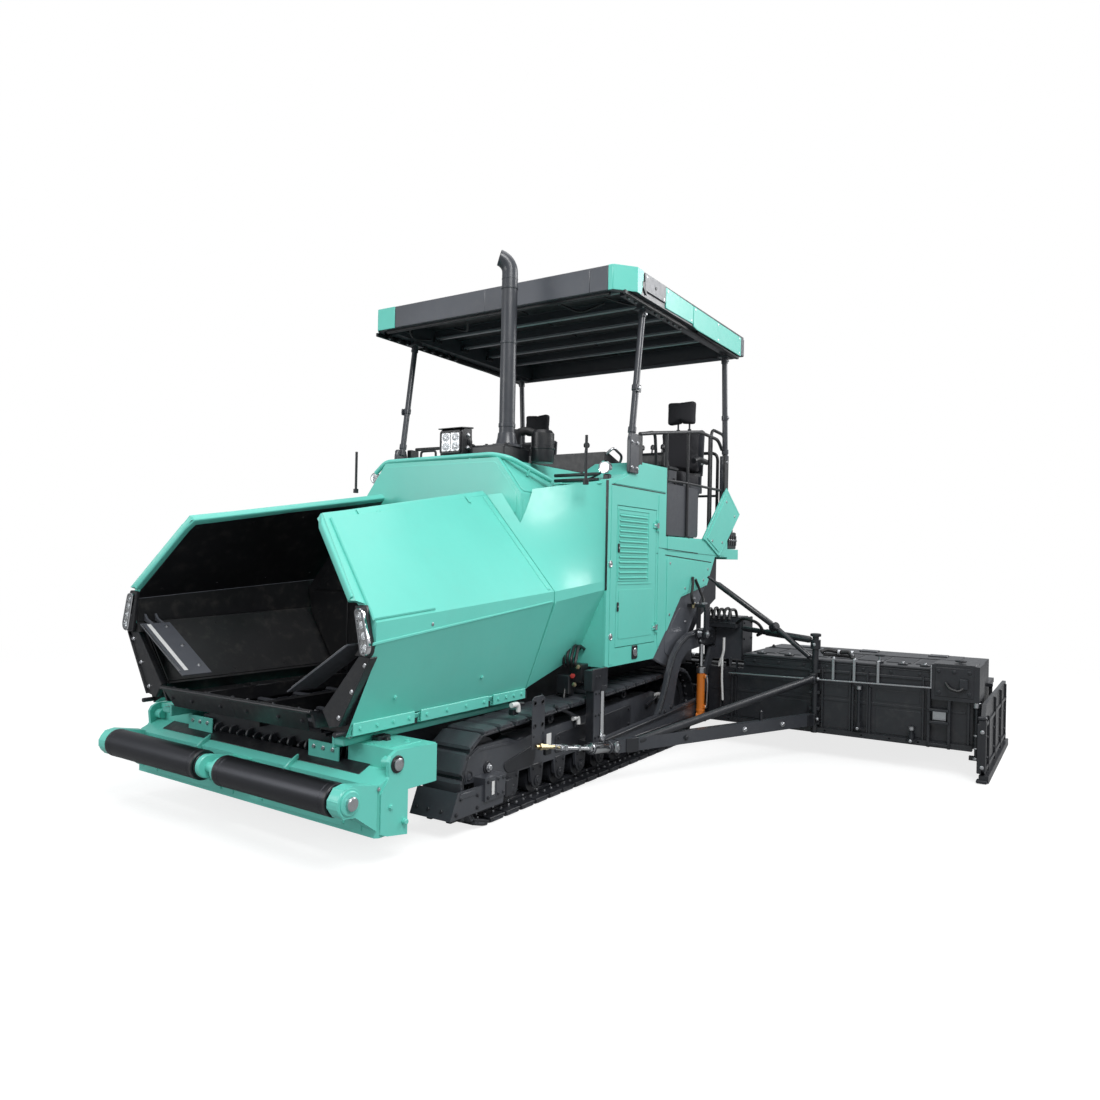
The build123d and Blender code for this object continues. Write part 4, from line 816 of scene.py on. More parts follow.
    unit.plate("yz", [(0.948, 1.180), (0.953, 1.172), (0.487, 0.877), (0.482, 0.885)], 2.590, 2.800, 3,
               0.002, 0.002)
    for x0, x1, mat, lift in ((2.735, 2.762, 4, 0.0012), (2.790, 2.801, 5, 0.001)):
        unit.slab([(x0, 0.935, 1.1715), (x1, 0.935, 1.1715), (x1, 0.52, 0.9088), (x0, 0.52, 0.9088)],
                  0.0012 + lift, (0, -0.53, 0.85), mat, 0.0005)
    for x, y in ((2.64, 0.905), (2.64, 0.73), (2.64, 0.55)):
        unit.bolt((x, y, 1.1715 - (0.935 - y) * 0.633), (0, -0.53, 0.85), 0.009, 5)
    for x in (2.64, 2.715):
        unit.plate("yz", [(1.035, 1.240), (1.0302, 1.190), (1.004, 1.180), (0.952, 1.174), (0.946, 1.182),
                          (1.004, 1.205)], x - 0.008, x + 0.008, 3, 0.002)
    unit.done("grey_paint", ("wing_lamp_" + tag,))


for side, tag in SIDES:
    wing(side, tag)

# ---------------------------------------------------------------- hopper floor, flap and the hull's front
hull = Piece("hull_fittings", "tractor", CAST, MINT, STEEL, BLACK, both=True)
hull.box(1.05, 2.70, 0.758, 0.838, 0.604, 0.640, 1, 0.006)
hull.box(1.05, 2.70, 0.742, 0.762, 0.585, 0.655, 1, 0.004)
for x in spread(1.15, 2.62, 8):
    hull.bolt((x, 0.80, 0.640), Z, 0.012, 2)
hull.box(2.40, 2.50, 0.846, 0.905, 0.585, 0.634, 3, 0.006)
hull.rod((2.45, 0.90, 0.612), (2.45, 0.935, 0.612), 0.018, 3, 14)
for k, y in enumerate((0.09, 0.19, 0.27, 0.37, 0.47, 0.55)):
    top = 0.575 if k % 2 else 0.545
    hull.plate("xz", [(2.30, 0.37), (2.50, 0.37), (2.515, 0.44), (2.495, top), (2.44, top + 0.012),
                      (2.40, 0.50), (2.30, 0.50)], y - 0.007, y + 0.007, 0, 0.003, 0.02, 3)
    hull.bolt((2.475, y + 0.007, 0.45), Y, 0.012, 2)
hull.rod((2.455, 0.02, 0.488), (2.455, 0.60, 0.488), 0.028, 0, 20)
for y in (0.14, 0.32, 0.42, 0.51):
    hull.ring((2.455, y - 0.016, 0.488), (2.455, y + 0.016, 0.488), 0.05, 0.028, 3, 20)
    for a in range(8):
        t = a * math.pi / 4
        hull.box(2.447 + 0.058 * math.cos(t), 2.463 + 0.058 * math.cos(t), y - 0.010, y + 0.010,
                 0.48 + 0.058 * math.sin(t), 0.496 + 0.058 * math.sin(t), 0, 0.003)
for y in (0.62, 0.66):
    hull.plate("xz", [(2.20, 0.36), (2.50, 0.36), (2.53, 0.46), (2.50, 0.56), (2.20, 0.58)], y - 0.006,
               y + 0.006, 0, 0.002, 0.02, 3)
hull.pipe([(2.30, 0.64, 0.45), (2.50, 0.60, 0.43), (2.50, 0.30, 0.40), (2.30, 0.25, 0.40)], 0.014, 3, 0.06)
hull.done("track_black")

lugs = Piece("intake_lugs", "tractor", CAST, BLACK, both=True)
for k, y in enumerate((0.04, 0.11, 0.20, 0.27, 0.36, 0.42)):
    top = 0.566 if k % 2 else 0.548
    lugs.plate("xz", [(2.49, 0.514), (2.60, 0.514), (2.612, 0.53), (2.596, top), (2.56, top + 0.004),
                      (2.49, 0.55)], y - 0.009, y + 0.009, 0, 0.003, 0.01, 2)
lugs.box(2.53, 2.552, 0.0, 0.45, 0.516, 0.545, 1, 0.004)
lugs.done("track_black")

feed = Piece("conveyor_chains", "tractor", CAST, TRACK, both=True)
for y in (0.075, 0.29, 0.505):
    for k in range(36):
        x = 2.52 - k * 0.1017
        feed.plate("xz", [(x - 0.062, 0.618), (x + 0.03, 0.618), (x + 0.042, 0.626), (x + 0.042, 0.64),
                          (x + 0.03, 0.648), (x - 0.062, 0.648)], y - 0.012 + 0.014 * (k % 2),
                   y - 0.002 + 0.014 * (k % 2), 0, 0.002)
for k in range(12):
    x = 2.48 - k * 0.305
    feed.plate("xz", [(x - 0.022, 0.652), (x + 0.022, 0.652), (x + 0.012, 0.668), (x - 0.012, 0.668)],
               0.045, 0.535, 1, 0.002)
feed.done("track_black")

lining = Piece("hopper_wear_plates", "tractor", LINER, both=True)
for x0, x1 in ((1.36, 1.76), (1.78, 2.18), (2.20, 2.60)):
    lining.box(x0, x1, 0.565, 0.715, 0.739, 0.745, 0, 0.002)
    for x in (x0 + 0.05, x1 - 0.05):
        for y in (0.60, 0.68):
            lining.cap((x, y, 0.744), Z, BUTTON, 0, 12)
lining.panel("yz", 0.01, 0.55, 0.965, 1.36, 1.341, 1.347, 0, 0.002)
lining.slab([(1.341, 0.01, 1.38), (1.341, 0.93, 1.38), (1.341, 0.48, 1.90), (1.341, 0.01, 1.90)], 0.005,
            X, 0, 0.002)
lining.slab([(1.341, 0.57, 0.77), (1.341, 0.71, 0.80), (1.341, 0.94, 1.19), (1.341, 0.97, 1.36),
             (1.341, 0.57, 1.36)], 0.006, X, 0, 0.002)
lining.caps("yz", ((0.06, 1.0), (0.5, 1.0), (0.06, 1.33), (0.5, 1.33), (0.06, 1.42), (0.8, 1.42),
                   (0.06, 1.86), (0.45, 1.86), (0.62, 0.85), (0.88, 1.2), (0.62, 1.3)), 1.345, X,
            [(0, 0.013), (0.004, 0.012), (0.005, 0.006)], 0, 12)
lining.sweep([(1.30, 0.02, 1.965), (1.30, 0.50, 1.965), (1.30, 1.0, 1.40)], bar(0.03, 0.012, 0.006, 2),
             (0, 0, 1), 0)
for k in range(2):
    x = 1.37 + 0.04 * k
    lining.box(x, x + 0.012, 0.60, 0.70, 0.745, 0.80, 0, 0.003)
lining.done("black_paint")

flap = Piece("flap_fittings", "flap", BLACK, CAST, both=True)
flap.slab([(2.802, 0.0, 0.7985), (2.802, 0.693, 0.7985), (2.640, 0.693, 0.7455), (2.640, 0.0, 0.7455)],
          0.004, (-0.3, 0, 1), 0, 0.0015)
flap.rod((2.812, 0.0, 0.790), (2.812, 0.694, 0.790), 0.010, 0, 12)
for y in (0.07, 0.30, 0.52, 0.655):
    flap.bolt((2.74, y, 0.7815), (-0.3, 0, 1), 0.011, 1)
flap.slab([(2.806, 0.0, 0.782), (2.806, 0.66, 0.782), (2.752, 0.62, 0.672), (2.752, 0.0, 0.672)], 0.005,
          X, 0, 0.002)
for y in (0.12, 0.40, 0.60):
    flap.bolt((2.786, y, 0.73), (0.9, 0, -0.45), 0.010, 1)
flap.plate("xz", [(2.66, 0.70), (2.80, 0.78), (2.80, 0.765), (2.68, 0.66)], 0.30, 0.312, 0, 0.002)
flap.done("black_paint")


# ---------------------------------------------------------------- hood, exhaust and what stands on them
top = Piece("hood_trim", "tractor", MINT, BLACK, STEEL)
top.pipe([(0.955, -0.68, 2.33), (0.955, -0.57, 2.415), (0.955, 0.50, 2.425), (0.90, 0.62, 2.40),
          (0.57, 0.775, 2.255)], 0.019, 0, 0.05, 14, 5)
for x, y, z in ((0.955, -0.40, 2.42), (0.955, 0.30, 2.42), (0.75, 0.70, 2.33)):
    top.rod((x, y, z - 0.005), (x, y - 0.02, z - 0.05), 0.011, 0, 12)
top.plate("yz", [(-0.50, 1.98), (-0.74, 1.98), (-0.745, 2.12), (-0.545, 2.37), (0.545, 2.37),
                 (0.745, 2.12), (0.74, 1.98), (0.50, 1.98)], 0.969, 0.975, 0, 0.003, 0.03, 4)
for y in (-0.66, 0.66):
    top.bolt((0.975, y, 2.03), X, 0.012, 2)
for s in (-1, 1):
    top.slab([(0.94, s * 0.775, 2.10), (-0.42, s * 0.775, 2.10), (-0.42, s * 0.775, 1.30),
              (0.94, s * 0.775, 1.30)], 0.004, (0, s, 0), 0, 0.002, 0.04, 4)
    top.slab([(0.93, s * 0.765, 2.145), (0.10, s * 0.765, 2.145), (0.10, s * 0.570, 2.39),
              (0.93, s * 0.570, 2.39)], 0.005, (0, s * 0.78, 0.62), 0, 0.002, 0.03, 4)
    top.rod((0.706, s * 1.164, 2.214), (0.706, s * 1.164, 2.56), 0.011, 1, 12)
    top.ring((0.706, s * 1.164, 2.20), (0.706, s * 1.164, 2.235), 0.022, 0.011, 1, 16)
    top.plate("xy", [(0.46, s * 0.80), (0.56, s * 0.80), (0.50, s * 1.17), (0.46, s * 1.17)], 2.225,
              2.235, 0, 0.002)
    for z in (2.262, 2.302):
        top.rod((0.462, s * 0.74, z), (0.462, s * 1.13, z), 0.013, 1, 12)
for k in range(7):
    x = -0.40 + 0.13 * k
    top.box(x, x + 0.07, -0.45, -0.05, 2.399, 2.412, 1, 0.004)
top.panel("xy", -0.43, 0.52, -0.52, 0.05, 2.398, 2.406, 0, 0.003, 0.03, 4)
top.panel("xy", -0.43, 0.50, 0.10, 0.54, 2.398, 2.410, 1, 0.003, 0.03, 4)
top.done("mint")

kit = Piece("hood_machinery", "tractor", BLACK, STEEL, LENS, CHROME, HOSE)
kit.plate("xy", [(0.56, 0.20), (0.86, 0.20), (0.90, 0.26), (0.90, 0.57), (0.56, 0.57)], 2.399, 2.50, 0,
          0.008, 0.02, 3)
kit.panel("xy", 0.58, 0.86, 0.32, 0.56, 2.499, 2.515, 0, 0.004, 0.03, 4)
kit.bolts("xy", ((0.61, 0.35), (0.83, 0.35), (0.61, 0.53), (0.83, 0.53)), 2.514, Z, 0.012, 0)
kit.cap((0.52, 0.66, 2.40), Z, [(0, 0.085), (0.02, 0.09), (0.10, 0.09), (0.104, 0.096), (0.118, 0.096),
                                (0.122, 0.09), (0.225, 0.09), (0.25, 0.07), (0.255, 0.03)], 0, 28)
kit.cap((0.60, 0.445, 2.50), Z, [(0, 0.052), (0.10, 0.052), (0.12, 0.060), (0.145, 0.060), (0.16, 0.045)],
        0, 24)
kit.pipe([(0.60, 0.445, 2.62), (0.56, 0.52, 2.66), (0.52, 0.62, 2.62)], 0.032, 4, 0.05, 14, 5)
kit.box(0.60, 0.70, 0.02, 0.16, 2.40, 2.485, 0, 0.012)
kit.rod((0.65, 0.09, 2.48), (0.65, 0.09, 2.53), 0.028, 0, 18, 0.005)
kit.rod((0.62, -0.02, 2.45), (0.62, -0.20, 2.45), 0.035, 0, 18, 0.006)
kit.box(0.58, 0.74, -0.50, -0.28, 2.40, 2.47, 0, 0.012)
kit.pipe([(0.66, -0.30, 2.47), (0.66, -0.30, 2.53), (0.66, -0.46, 2.53), (0.66, -0.46, 2.47)], 0.010, 0,
         0.04)
kit.pipe([(0.60, -0.10, 2.45), (0.52, 0.05, 2.50), (0.56, 0.25, 2.46)], 0.014, 4, 0.1, 10, 6)
# headlamp in its tilted housing, under a thin cover plate
body = [(0.800, 2.445), (0.925, 2.438), (0.930, 2.63), (0.90, 2.652), (0.805, 2.66)]
kit.plate("xz", body, -0.032, 0.192, 0, 0.006, 0.016, 4)
kit.plate("xz", [(0.80, 2.655), (0.94, 2.645), (0.942, 2.653), (0.80, 2.668)], -0.040, 0.200, 0, 0.002)
kit.box(0.84, 0.90, 0.05, 0.11, 2.399, 2.45, 0, 0.006)
frame_out = rounded([(-0.022, 2.455), (0.182, 2.455), (0.182, 2.632), (-0.022, 2.632)], 0.022, 5)
frame_in = shrink(frame_out, 0.014)
kit.rings([[(x, y, z) for y, z in ring] for x, ring in ((0.928, frame_out), (0.940, frame_out),
               (0.943, shrink(frame_out, 0.004)), (0.943, shrink(frame_out, 0.011)), (0.934, frame_in),
               (0.928, frame_in))], 0, closed=True)
for y0, y1 in ((-0.006, 0.074), (0.084, 0.166)):
    mid = (y0 + y1) / 2
    kit.panel("yz", y0, y1, 2.475, 2.612, 0.929, 0.933, 3, 0.001, 0.01, 3)
    for z in (2.508, 2.578):
        kit.cap((0.932, mid, z), X, [(0, 0.031), (0.006, 0.031), (0.007, 0.027), (0.002, 0.012),
                                     (0.006, 0.006)], 3, 20)
    kit.panel("yz", y0, y1, 2.47, 2.618, 0.9395, 0.9415, 2, 0.0008, 0.012, 3)
for z in (2.60, 2.50):
    kit.bolt((0.86, 0.192, z), Y, 0.013, 1)
kit.cap((0.84, 0.192, 2.55), Y, [(0, 0.03), (0.006, 0.03), (0.008, 0.02)], 0, 20)
kit.done("black_paint", ("hood_fittings",))

pipe = Piece("exhaust_fittings", "tractor", ANTHRACITE, STEEL, BLACK)
ex, ey = 0.72, 0.46
pipe.cap((ex, ey, 2.505), Z, [(0, 0.062), (0.0, 0.118), (0.016, 0.118), (0.020, 0.112), (0.020, 0.085),
                              (0.075, 0.072), (0.11, 0.068), (0.112, 0.0615)], 0, 32)
for k in range(8):
    a = k * math.pi / 4
    pipe.bolt((ex + 0.1 * math.cos(a), ey + 0.1 * math.sin(a), 2.522), Z, 0.009, 2)
for z, h in ((2.66, 0.03), (3.30, 0.02), (3.72, 0.02)):
    pipe.ring((ex, ey, z), (ex, ey, z + h), 0.0655, 0.060, 0, 32, 0.002)
pipe.box(ex - 0.09, ex - 0.058, ey - 0.012, ey + 0.012, 2.665, 2.685, 0, 0.003)
pipe.bolt((ex - 0.075, ey + 0.012, 2.675), Y, 0.009, 1)
pipe.ring((ex, ey, 3.795), (ex, ey, 3.803), 0.063, 0.059, 0, 32, 0.001)
pipe.done("dark_paint")

# ---------------------------------------------------------------- side towers, doors and fascia
tower = Piece("tower_trim", "tractor", MINT, BLACK, STEEL, CHROME, LENS, HOSE, BRASS, RED, both=True)
FACE = 1.212  # outer face of the towers and of the platform's side
tower.box(0.446, 0.456, 1.175, 1.2135, 1.43, 2.255, 1, 0.002)
tower.box(0.446, 0.454, 1.190, 1.2135, 0.86, 1.42, 0, 0.002)
tower.panel("xz", 0.40, -0.545, 2.225, 2.232, FACE - 0.001, FACE + 0.002, 1, 0.0005)
tower.plate("xz", [(0.385, 2.236), (0.20, 2.303), (-0.06, 2.425), (-0.545, 2.429), (-0.545, 2.238)], FACE,
            FACE + 0.006, 0, 0.003, 0.01, 2)
tower.plate("xz", [(0.40, 0.866), (0.40, 2.215), (0.335, 2.215), (0.335, 0.866)], FACE, FACE + 0.004, 0,
            0.002)
tower.plate("xz", [(-0.42, 1.10), (-0.42, 2.215), (-0.555, 2.215), (-0.555, 1.04), (-0.44, 0.93)], FACE,
            FACE + 0.004, 0, 0.002, 0.01, 2)
tower.caps("xz", ((0.40, 1.627), (0.381, 1.077)), FACE, Y, [(0, 0.026), (0.006, 0.026), (0.009, 0.022),
               (0.006, 0.015), (0.009, 0.008), (0.009, 0.004)], 2, 24)
tower.panel("xz", -0.065, 0.025, 0.878, 0.985, FACE - 0.002, FACE + 0.010, 1, 0.004, 0.012, 3)
tower.cap((-0.021, FACE + 0.008, 0.932), Y, [(0, 0.034), (0.004, 0.034), (0.007, 0.030), (0.004, 0.02),
              (0.006, 0.012)], 2, 28)
tower.box(-0.028, -0.014, FACE + 0.010, FACE + 0.022, 0.908, 0.956, 2, 0.003)
# round work lamp on the front corner
tower.cap((0.40, 1.18, 2.352), X, [(0, 0.022), (0.012, 0.040), (0.050, 0.048), (0.062, 0.050),
                                   (0.068, 0.047), (0.064, 0.041)], 3, 32)
tower.cap((0.455, 1.18, 2.352), X, [(0, 0.041), (0.009, 0.041), (0.013, 0.028), (0.014, 0.010)], 4, 32)
tower.box(0.39, 0.44, 1.155, 1.205, 2.255, 2.305, 1, 0.008)
tower.pipe([(0.41, 1.14, 2.335), (0.41, 1.10, 2.30), (0.43, 1.02, 2.27)], 0.007, 5, 0.03)
# seams of the cheek and of the skirt below the platform
tower.slab([(1.045, 0.902, 0.735), (1.030, 0.902, 0.737), (1.030, 1.137, 1.355), (1.045, 1.137, 1.353)],
           0.005, (0.1, 1, -0.2), 0, 0.002)
tower.plate("xz", [(-0.385, 1.724), (-1.585, 1.660), (-1.585, 1.652), (-0.60, 1.705)], FACE - 0.001,
            FACE + 0.003, 1, 0.001)
tower.plate("xz", [(-0.60, 1.050), (-0.905, 1.362), (-1.47, 1.455), (-1.62, 1.645), (-0.60, 1.690)], FACE,
            FACE + 0.005, 0, 0.002, 0.03, 3)
tower.caps("xz", ((-0.66, 1.64), (-1.50, 1.59), (-1.40, 1.49), (-0.98, 1.42), (-0.66, 1.20)),
           FACE + 0.004, Y, BUTTON, 2, 14)
# valve group and hoses ahead of the tower, over the track
tower.box(0.50, 0.60, 0.99, 1.10, 0.74, 0.88, 1, 0.006)
tower.box(0.60, 0.68, 0.93, 1.04, 0.66, 0.80, 1, 0.006)
for k, (x, y, z) in enumerate(((0.62, 1.075, 0.865), (0.66, 1.055, 0.80), (0.64, 1.06, 0.735))):
    tower.turned((x - 0.02, y, z), (x + 0.05, y + 0.02, z), [(0, 0.012), (0.02, 0.012), (0.022, 0.018),
                     (0.04, 0.018), (0.042, 0.010)], 7 if k == 1 else 6, 6)
for k in range(4):
    y = 0.96 + 0.035 * k
    tower.pipe([(0.62, y, 0.86), (0.66, y + 0.01, 0.95 - 0.02 * k), (0.56, y - 0.02, 1.02),
                (0.46, y - 0.03, 0.98)], 0.012, 5, 0.08, 10, 5)
tower.pipe([(0.67, 1.00, 0.70), (0.72, 1.02, 0.62), (0.66, 1.00, 0.56), (0.55, 0.95, 0.56)], 0.011, 5,
           0.06, 10, 5)
tower.done("mint")

for side, tag in SIDES:
    door = Piece("door_trim_" + tag, "door_" + tag, MINT, BLACK, STEEL, side=side)
    y = FACE
    door.panel("xz", -0.30, 0.275, 1.47, 1.478, y, y + 0.004, 0, 0.001)
    for a, b, c, d in ((-0.243, 0.283, 1.495, 1.503), (-0.243, 0.283, 2.045, 2.053),
                       (-0.243, -0.235, 1.50, 2.05), (0.275, 0.283, 1.50, 2.05)):
        door.box(a, b, y - 0.001, y + 0.005, c, d, 0, 0.0015)
    door.box(-0.36, 0.275, y - 0.022, y - 0.019, 1.49, 2.055, 1, 0.001)
    door.panel("xz", -0.33, 0.26, 1.05, 1.43, y, y + 0.003, 0, 0.0015, 0.02, 4)
    for z in (1.30, 1.75):
        door.panel("xz", 0.262, 0.288, z - 0.035, z + 0.035, y, y + 0.008, 1, 0.002, 0.008, 3)
        door.cap((0.275, y + 0.006, z), Y, [(0, 0.009), (0.004, 0.009), (0.005, 0.006)], 2, 16)
    for z in (1.11, 1.95):
        door.cap((-0.386, 1.225, z - 0.021), Z, [(0, 0.0135), (0.010, 0.0135), (0.011, 0.0125),
                     (0.031, 0.0125), (0.032, 0.0135), (0.042, 0.0135)], 2, 16)
        for x in (-0.36, -0.34):
            door.bolt((x, 1.2205, z), Y, 0.006, 2)
    door.done("mint")

deck = Piece("platform_fittings", "tractor", MINT, BLACK, STEEL, RAIL, ANTHRACITE, both=True)
deck.plate("xz", [(-0.60, 1.748), (-1.70, 1.722), (-1.93, 1.722), (-1.93, 1.855), (-0.60, 1.862)], FACE,
           FACE + 0.005, 0, 0.002, 0.015, 2)
deck.plate("xz", [(-0.421, 1.770), (-1.25, 1.740), (-1.25, 1.733), (-0.60, 1.757)], FACE + 0.004,
           FACE + 0.007, 1, 0.001)
wing_out = [(-1.379, 1.87), (-1.910, 2.361), (-2.253, 2.144), (-1.734, 1.72)]
deck.plate("xz", shrink(wing_out, 0.028), 1.2295, 1.236, 0, 0.002, 0.02, 3)
deck.sweep([(-1.36, 1.222, 1.868), (-1.915, 1.222, 2.372), (-2.262, 1.222, 2.148), (-1.75, 1.222, 1.722)],
           bar(0.013, 0.010, 0.006, 2), (0, 1, 0), 0)
deck.caps("xz", ((-1.55, 1.86), (-1.90, 2.25), (-2.12, 2.12), (-1.80, 1.85)), 1.236, Y, BUTTON, 2, 14)
# grab rail over the fascia, with stanchions
rail = [(-0.093, 1.19, 2.675), (-0.366, 1.19, 2.72), (-1.312, 1.19, 2.859), (-1.757, 1.19, 2.843),
        (-1.863, 1.19, 2.76)]
deck.pipe(rail, 0.016, 3, 0.08, 12, 5)
for x, z in ((-0.60, 2.75), (-1.05, 2.82), (-1.55, 2.85)):
    deck.rod((x, 1.19, 1.87), (x, 1.19, z), 0.014, 3, 12)
    deck.ring((x, 1.19, 1.87), (x, 1.19, 1.885), 0.032, 0.014, 1, 20)
deck.pipe([(-0.62, 1.19, 2.35), (-1.0, 1.19, 2.36), (-1.86, 1.19, 2.36)], 0.012, 3, 0.03, 12)
deck.panel("xz", -0.60, -1.32, 1.88, 2.33, 1.176, 1.182, 4, 0.002, 0.04, 4)
# tread bars of the deck
for k in range(15):
    x = -0.84 - 0.078 * k
    deck.box(x, x + 0.012, 0.02, 1.17, 1.869, 1.874, 4, 0.002)
deck.done("mint")

rear = Piece("valve_group", "tractor", BLACK, STEEL, HOSE, BRASS, both=True)
rear.box(-2.285, -2.03, 0.965, 1.195, 1.795, 1.965, 0, 0.008)
for k in range(4):
    x = -2.25 + 0.06 * k
    rear.box(x - 0.02, x + 0.02, 1.195, 1.206, 1.83, 1.93, 0, 0.004)
    rear.bolt((x, 1.206, 1.88), Y, 0.010, 1)
    rear.rod((x, 1.16, 1.964), (x, 1.16, 2.02), 0.010, 0, 12)
    rear.cap((x, 1.16, 2.01), Z, [(0, 0.010), (0.010, 0.017), (0.024, 0.017), (0.032, 0.010)], 0, 16)
    rear.pipe([(x, 1.02, 1.80), (x, 1.02, 1.74), (x + 0.10, 1.0, 1.68)], 0.012, 2, 0.04)
    rear.ring((x, 1.02, 1.755), (x, 1.02, 1.785), 0.018, 0.012, 3, 6)
rear.box(-2.29, -2.282, 1.0, 1.16, 1.83, 1.93, 0, 0.002)
rear.done("black_paint", ("valve_boxes",))

# ---------------------------------------------------------------- roof and its posts
roof = Piece("roof_panels", "tractor", GREY, MINT, BLACK, STEEL, GREY, both=True)
LOW, HIGH, FRONT, SIDE = 3.69, 3.88, 0.427, 1.326
roof.panel("yz", 0.0, 1.0, LOW + 0.003, HIGH - 0.004, FRONT, FRONT + 0.006, 0, 0.002)
caps = Piece("roof_front_caps", "tractor", MINT, GREY)
for side, y0 in ((1, 1.165), (-1, 1.005)):
    if side > 0:
        caps.panel("yz", 1.003, 1.162, LOW + 0.003, HIGH - 0.004, FRONT, FRONT + 0.006, 1, 0.002)
    caps.panel("yz", side * y0, side * 1.204, LOW, HIGH, FRONT, FRONT + 0.009, 0, 0.002)
caps.done("mint")
roof.slab([(FRONT + 0.003, 1.202, LOW), (0.277, SIDE + 0.002, LOW), (0.277, SIDE + 0.002, HIGH),
           (FRONT + 0.003, 1.202, HIGH)], 0.008, (0.6, 0.8, 0), 1, 0.002)
roof.plate("xz", [(0.279, LOW), (0.215, LOW), (0.18, LOW + 0.10), (0.18, HIGH), (0.279, HIGH)],
           SIDE - 0.001, SIDE + 0.008, 1, 0.002)
roof.panel("xz", 0.16, -0.215, 3.735, 3.872, SIDE, SIDE + 0.012, 0, 0.004, 0.01, 3)
roof.plate("xz", [(-0.225, 3.70), (-0.225, 3.868), (-0.775, 3.862), (-0.775, 3.706)], SIDE, SIDE + 0.009,
           1, 0.003)
roof.plate("xz", [(-0.785, 3.688), (-0.785, 3.862), (-1.94, 3.858), (-1.94, 3.676), (-0.86, 3.676)], SIDE,
           SIDE + 0.010, 1, 0.003)
roof.plate("xz", [(-1.95, 3.69), (-1.95, 3.86), (-2.030, 3.858), (-2.030, 3.69)], SIDE, SIDE + 0.008, 0,
           0.003, 0.008, 2)
# painted shade: this thin black strip along the fascia's top edge stands for the shade in the groove under
# the roof's rim
roof.plate("xz", [(-0.225, 3.869), (-1.94, 3.861), (-1.94, 3.868), (-0.225, 3.876)], SIDE, SIDE + 0.005,
           2, 0.001)
roof.panel("yz", 0.0, 1.30, LOW + 0.01, HIGH - 0.01, -2.037, -2.031, 0, 0.003)
roof.cap((-0.03, SIDE + 0.011, 3.80), Y, [(0, 0.014), (0.004, 0.014), (0.005, 0.009)], 2, 18)
# painted shade: this black plate stands for the shade in the pocket between the corner piece and the grey
# side block
roof.plate("xz", [(0.13, 3.70), (0.20, 3.76), (0.20, 3.80), (0.10, 3.80)], SIDE + 0.002, SIDE + 0.010, 2,
           0.003)
roof.caps("xz", ((0.12, 3.85), (-0.19, 3.76), (-0.26, 3.84), (-0.74, 3.73), (-0.82, 3.84), (-1.35, 3.70),
                 (-1.90, 3.70), (-1.90, 3.84), (-1.35, 3.84)), SIDE + 0.009, Y,
          [(0, 0.010), (0.003, 0.009), (0.004, 0.005)], 3, 12)
# top skin: pressed ribs and rim
for k in range(6):
    x = 0.20 - 0.40 * k
    roof.box(x - 0.03, x + 0.03, 0.0, 1.20, 3.879, 3.888, 0, 0.004)
roof.box(-2.02, 0.27, 1.24, 1.31, 3.879, 3.890, 0, 0.005)
# underside: lining, cross bars, rails, clips and the front lamp's wiring
for k in range(5):
    x = 0.097 - 0.42 * k
    roof.rod((x + 0.024, 0.0, 3.782), (x + 0.024, 1.27, 3.782), 0.013, 4, 10)
    roof.rod((x - 0.024, 0.0, 3.782), (x - 0.024, 1.27, 3.782), 0.009, 3, 10)
    roof.box(x - 0.055, x + 0.055, 1.135, 1.165, 3.74, 3.79, 2, 0.004)
    roof.box(x - 0.34, x - 0.06, 0.02, 1.13, 3.838, 3.849, 2, 0.004)
roof.box(-1.96, 0.38, 1.262, 1.286, 3.66, 3.692, 2, 0.004)
roof.box(0.36, 0.385, 0.0, 1.15, 3.668, 3.70, 2, 0.004)
roof.box(-1.99, -1.965, 0.0, 1.25, 3.668, 3.70, 4, 0.004)
roof.sweep([(-0.945, 1.30, 3.690), (-1.944, 1.30, 3.664)], bar(0.014, 0.012, 0.004, 2), (0, 0, 1), 2)
for k in range(9):
    x = 0.24 - 0.12 * k
    roof.box(x - 0.018, x + 0.018, 1.225, 1.262, 3.664, 3.70, 2, 0.004)
    roof.bolt((x, 1.244, 3.664), -Z, 0.007, 3)
roof.pipe([(0.10, 0.45, 3.80), (-0.10, 0.60, 3.73), (-0.16, 0.80, 3.80)], 0.010, 2, 0.06)
roof.pipe([(0.30, 0.95, 3.74), (0.18, 1.05, 3.70), (0.05, 1.12, 3.69), (-0.2, 1.13, 3.74)], 0.007, 2,
          0.08, 8, 5)
roof.done("dark_paint")

post = Piece("post_joints", "tractor", ANTHRACITE, STEEL, BLACK, both=True)


def on_post(foot, head, z):
    t = (z - foot[1]) / (head[1] - foot[1])
    return Vector((foot[0] + (head[0] - foot[0]) * t, 1.205, z))


FRONT_POST, REAR_POST = ((0.087, 2.6), (-0.072, 3.7)), ((-1.915, 2.66), (-1.847, 3.7))
for (foot, head), heights in ((FRONT_POST, (2.66, 3.0, 3.6)), (REAR_POST, (2.72, 3.05, 3.6))):
    for z in heights:
        a, b = on_post(foot, head, z), on_post(foot, head, z + 0.045)
        post.ring(a, b, 0.033, 0.025, 0, 24)
    post.bolt(on_post(foot, head, heights[1] + 0.022) + Vector((0, 0.032, 0)), Y, 0.010, 1)
    post.bolt(on_post(foot, head, heights[2] + 0.022) + Vector((0, 0.032, 0)), Y, 0.010, 1)
a = on_post(*FRONT_POST, 3.014)
post.panel("xz", a.x - 0.03, a.x + 0.045, 2.985, 3.045, 1.228, 1.240, 0, 0.003, 0.01, 3)
post.cap((a.x + 0.02, 1.24, 3.014), Y, [(0, 0.013), (0.012, 0.013), (0.014, 0.009)], 1, 16)
post.plate("xz", [(0.012, 2.34), (0.158, 2.34), (0.158, 2.60), (0.14, 2.652), (0.03, 2.652),
                  (0.012, 2.60)], 1.205, 1.238, 0, 0.005, 0.012, 3)
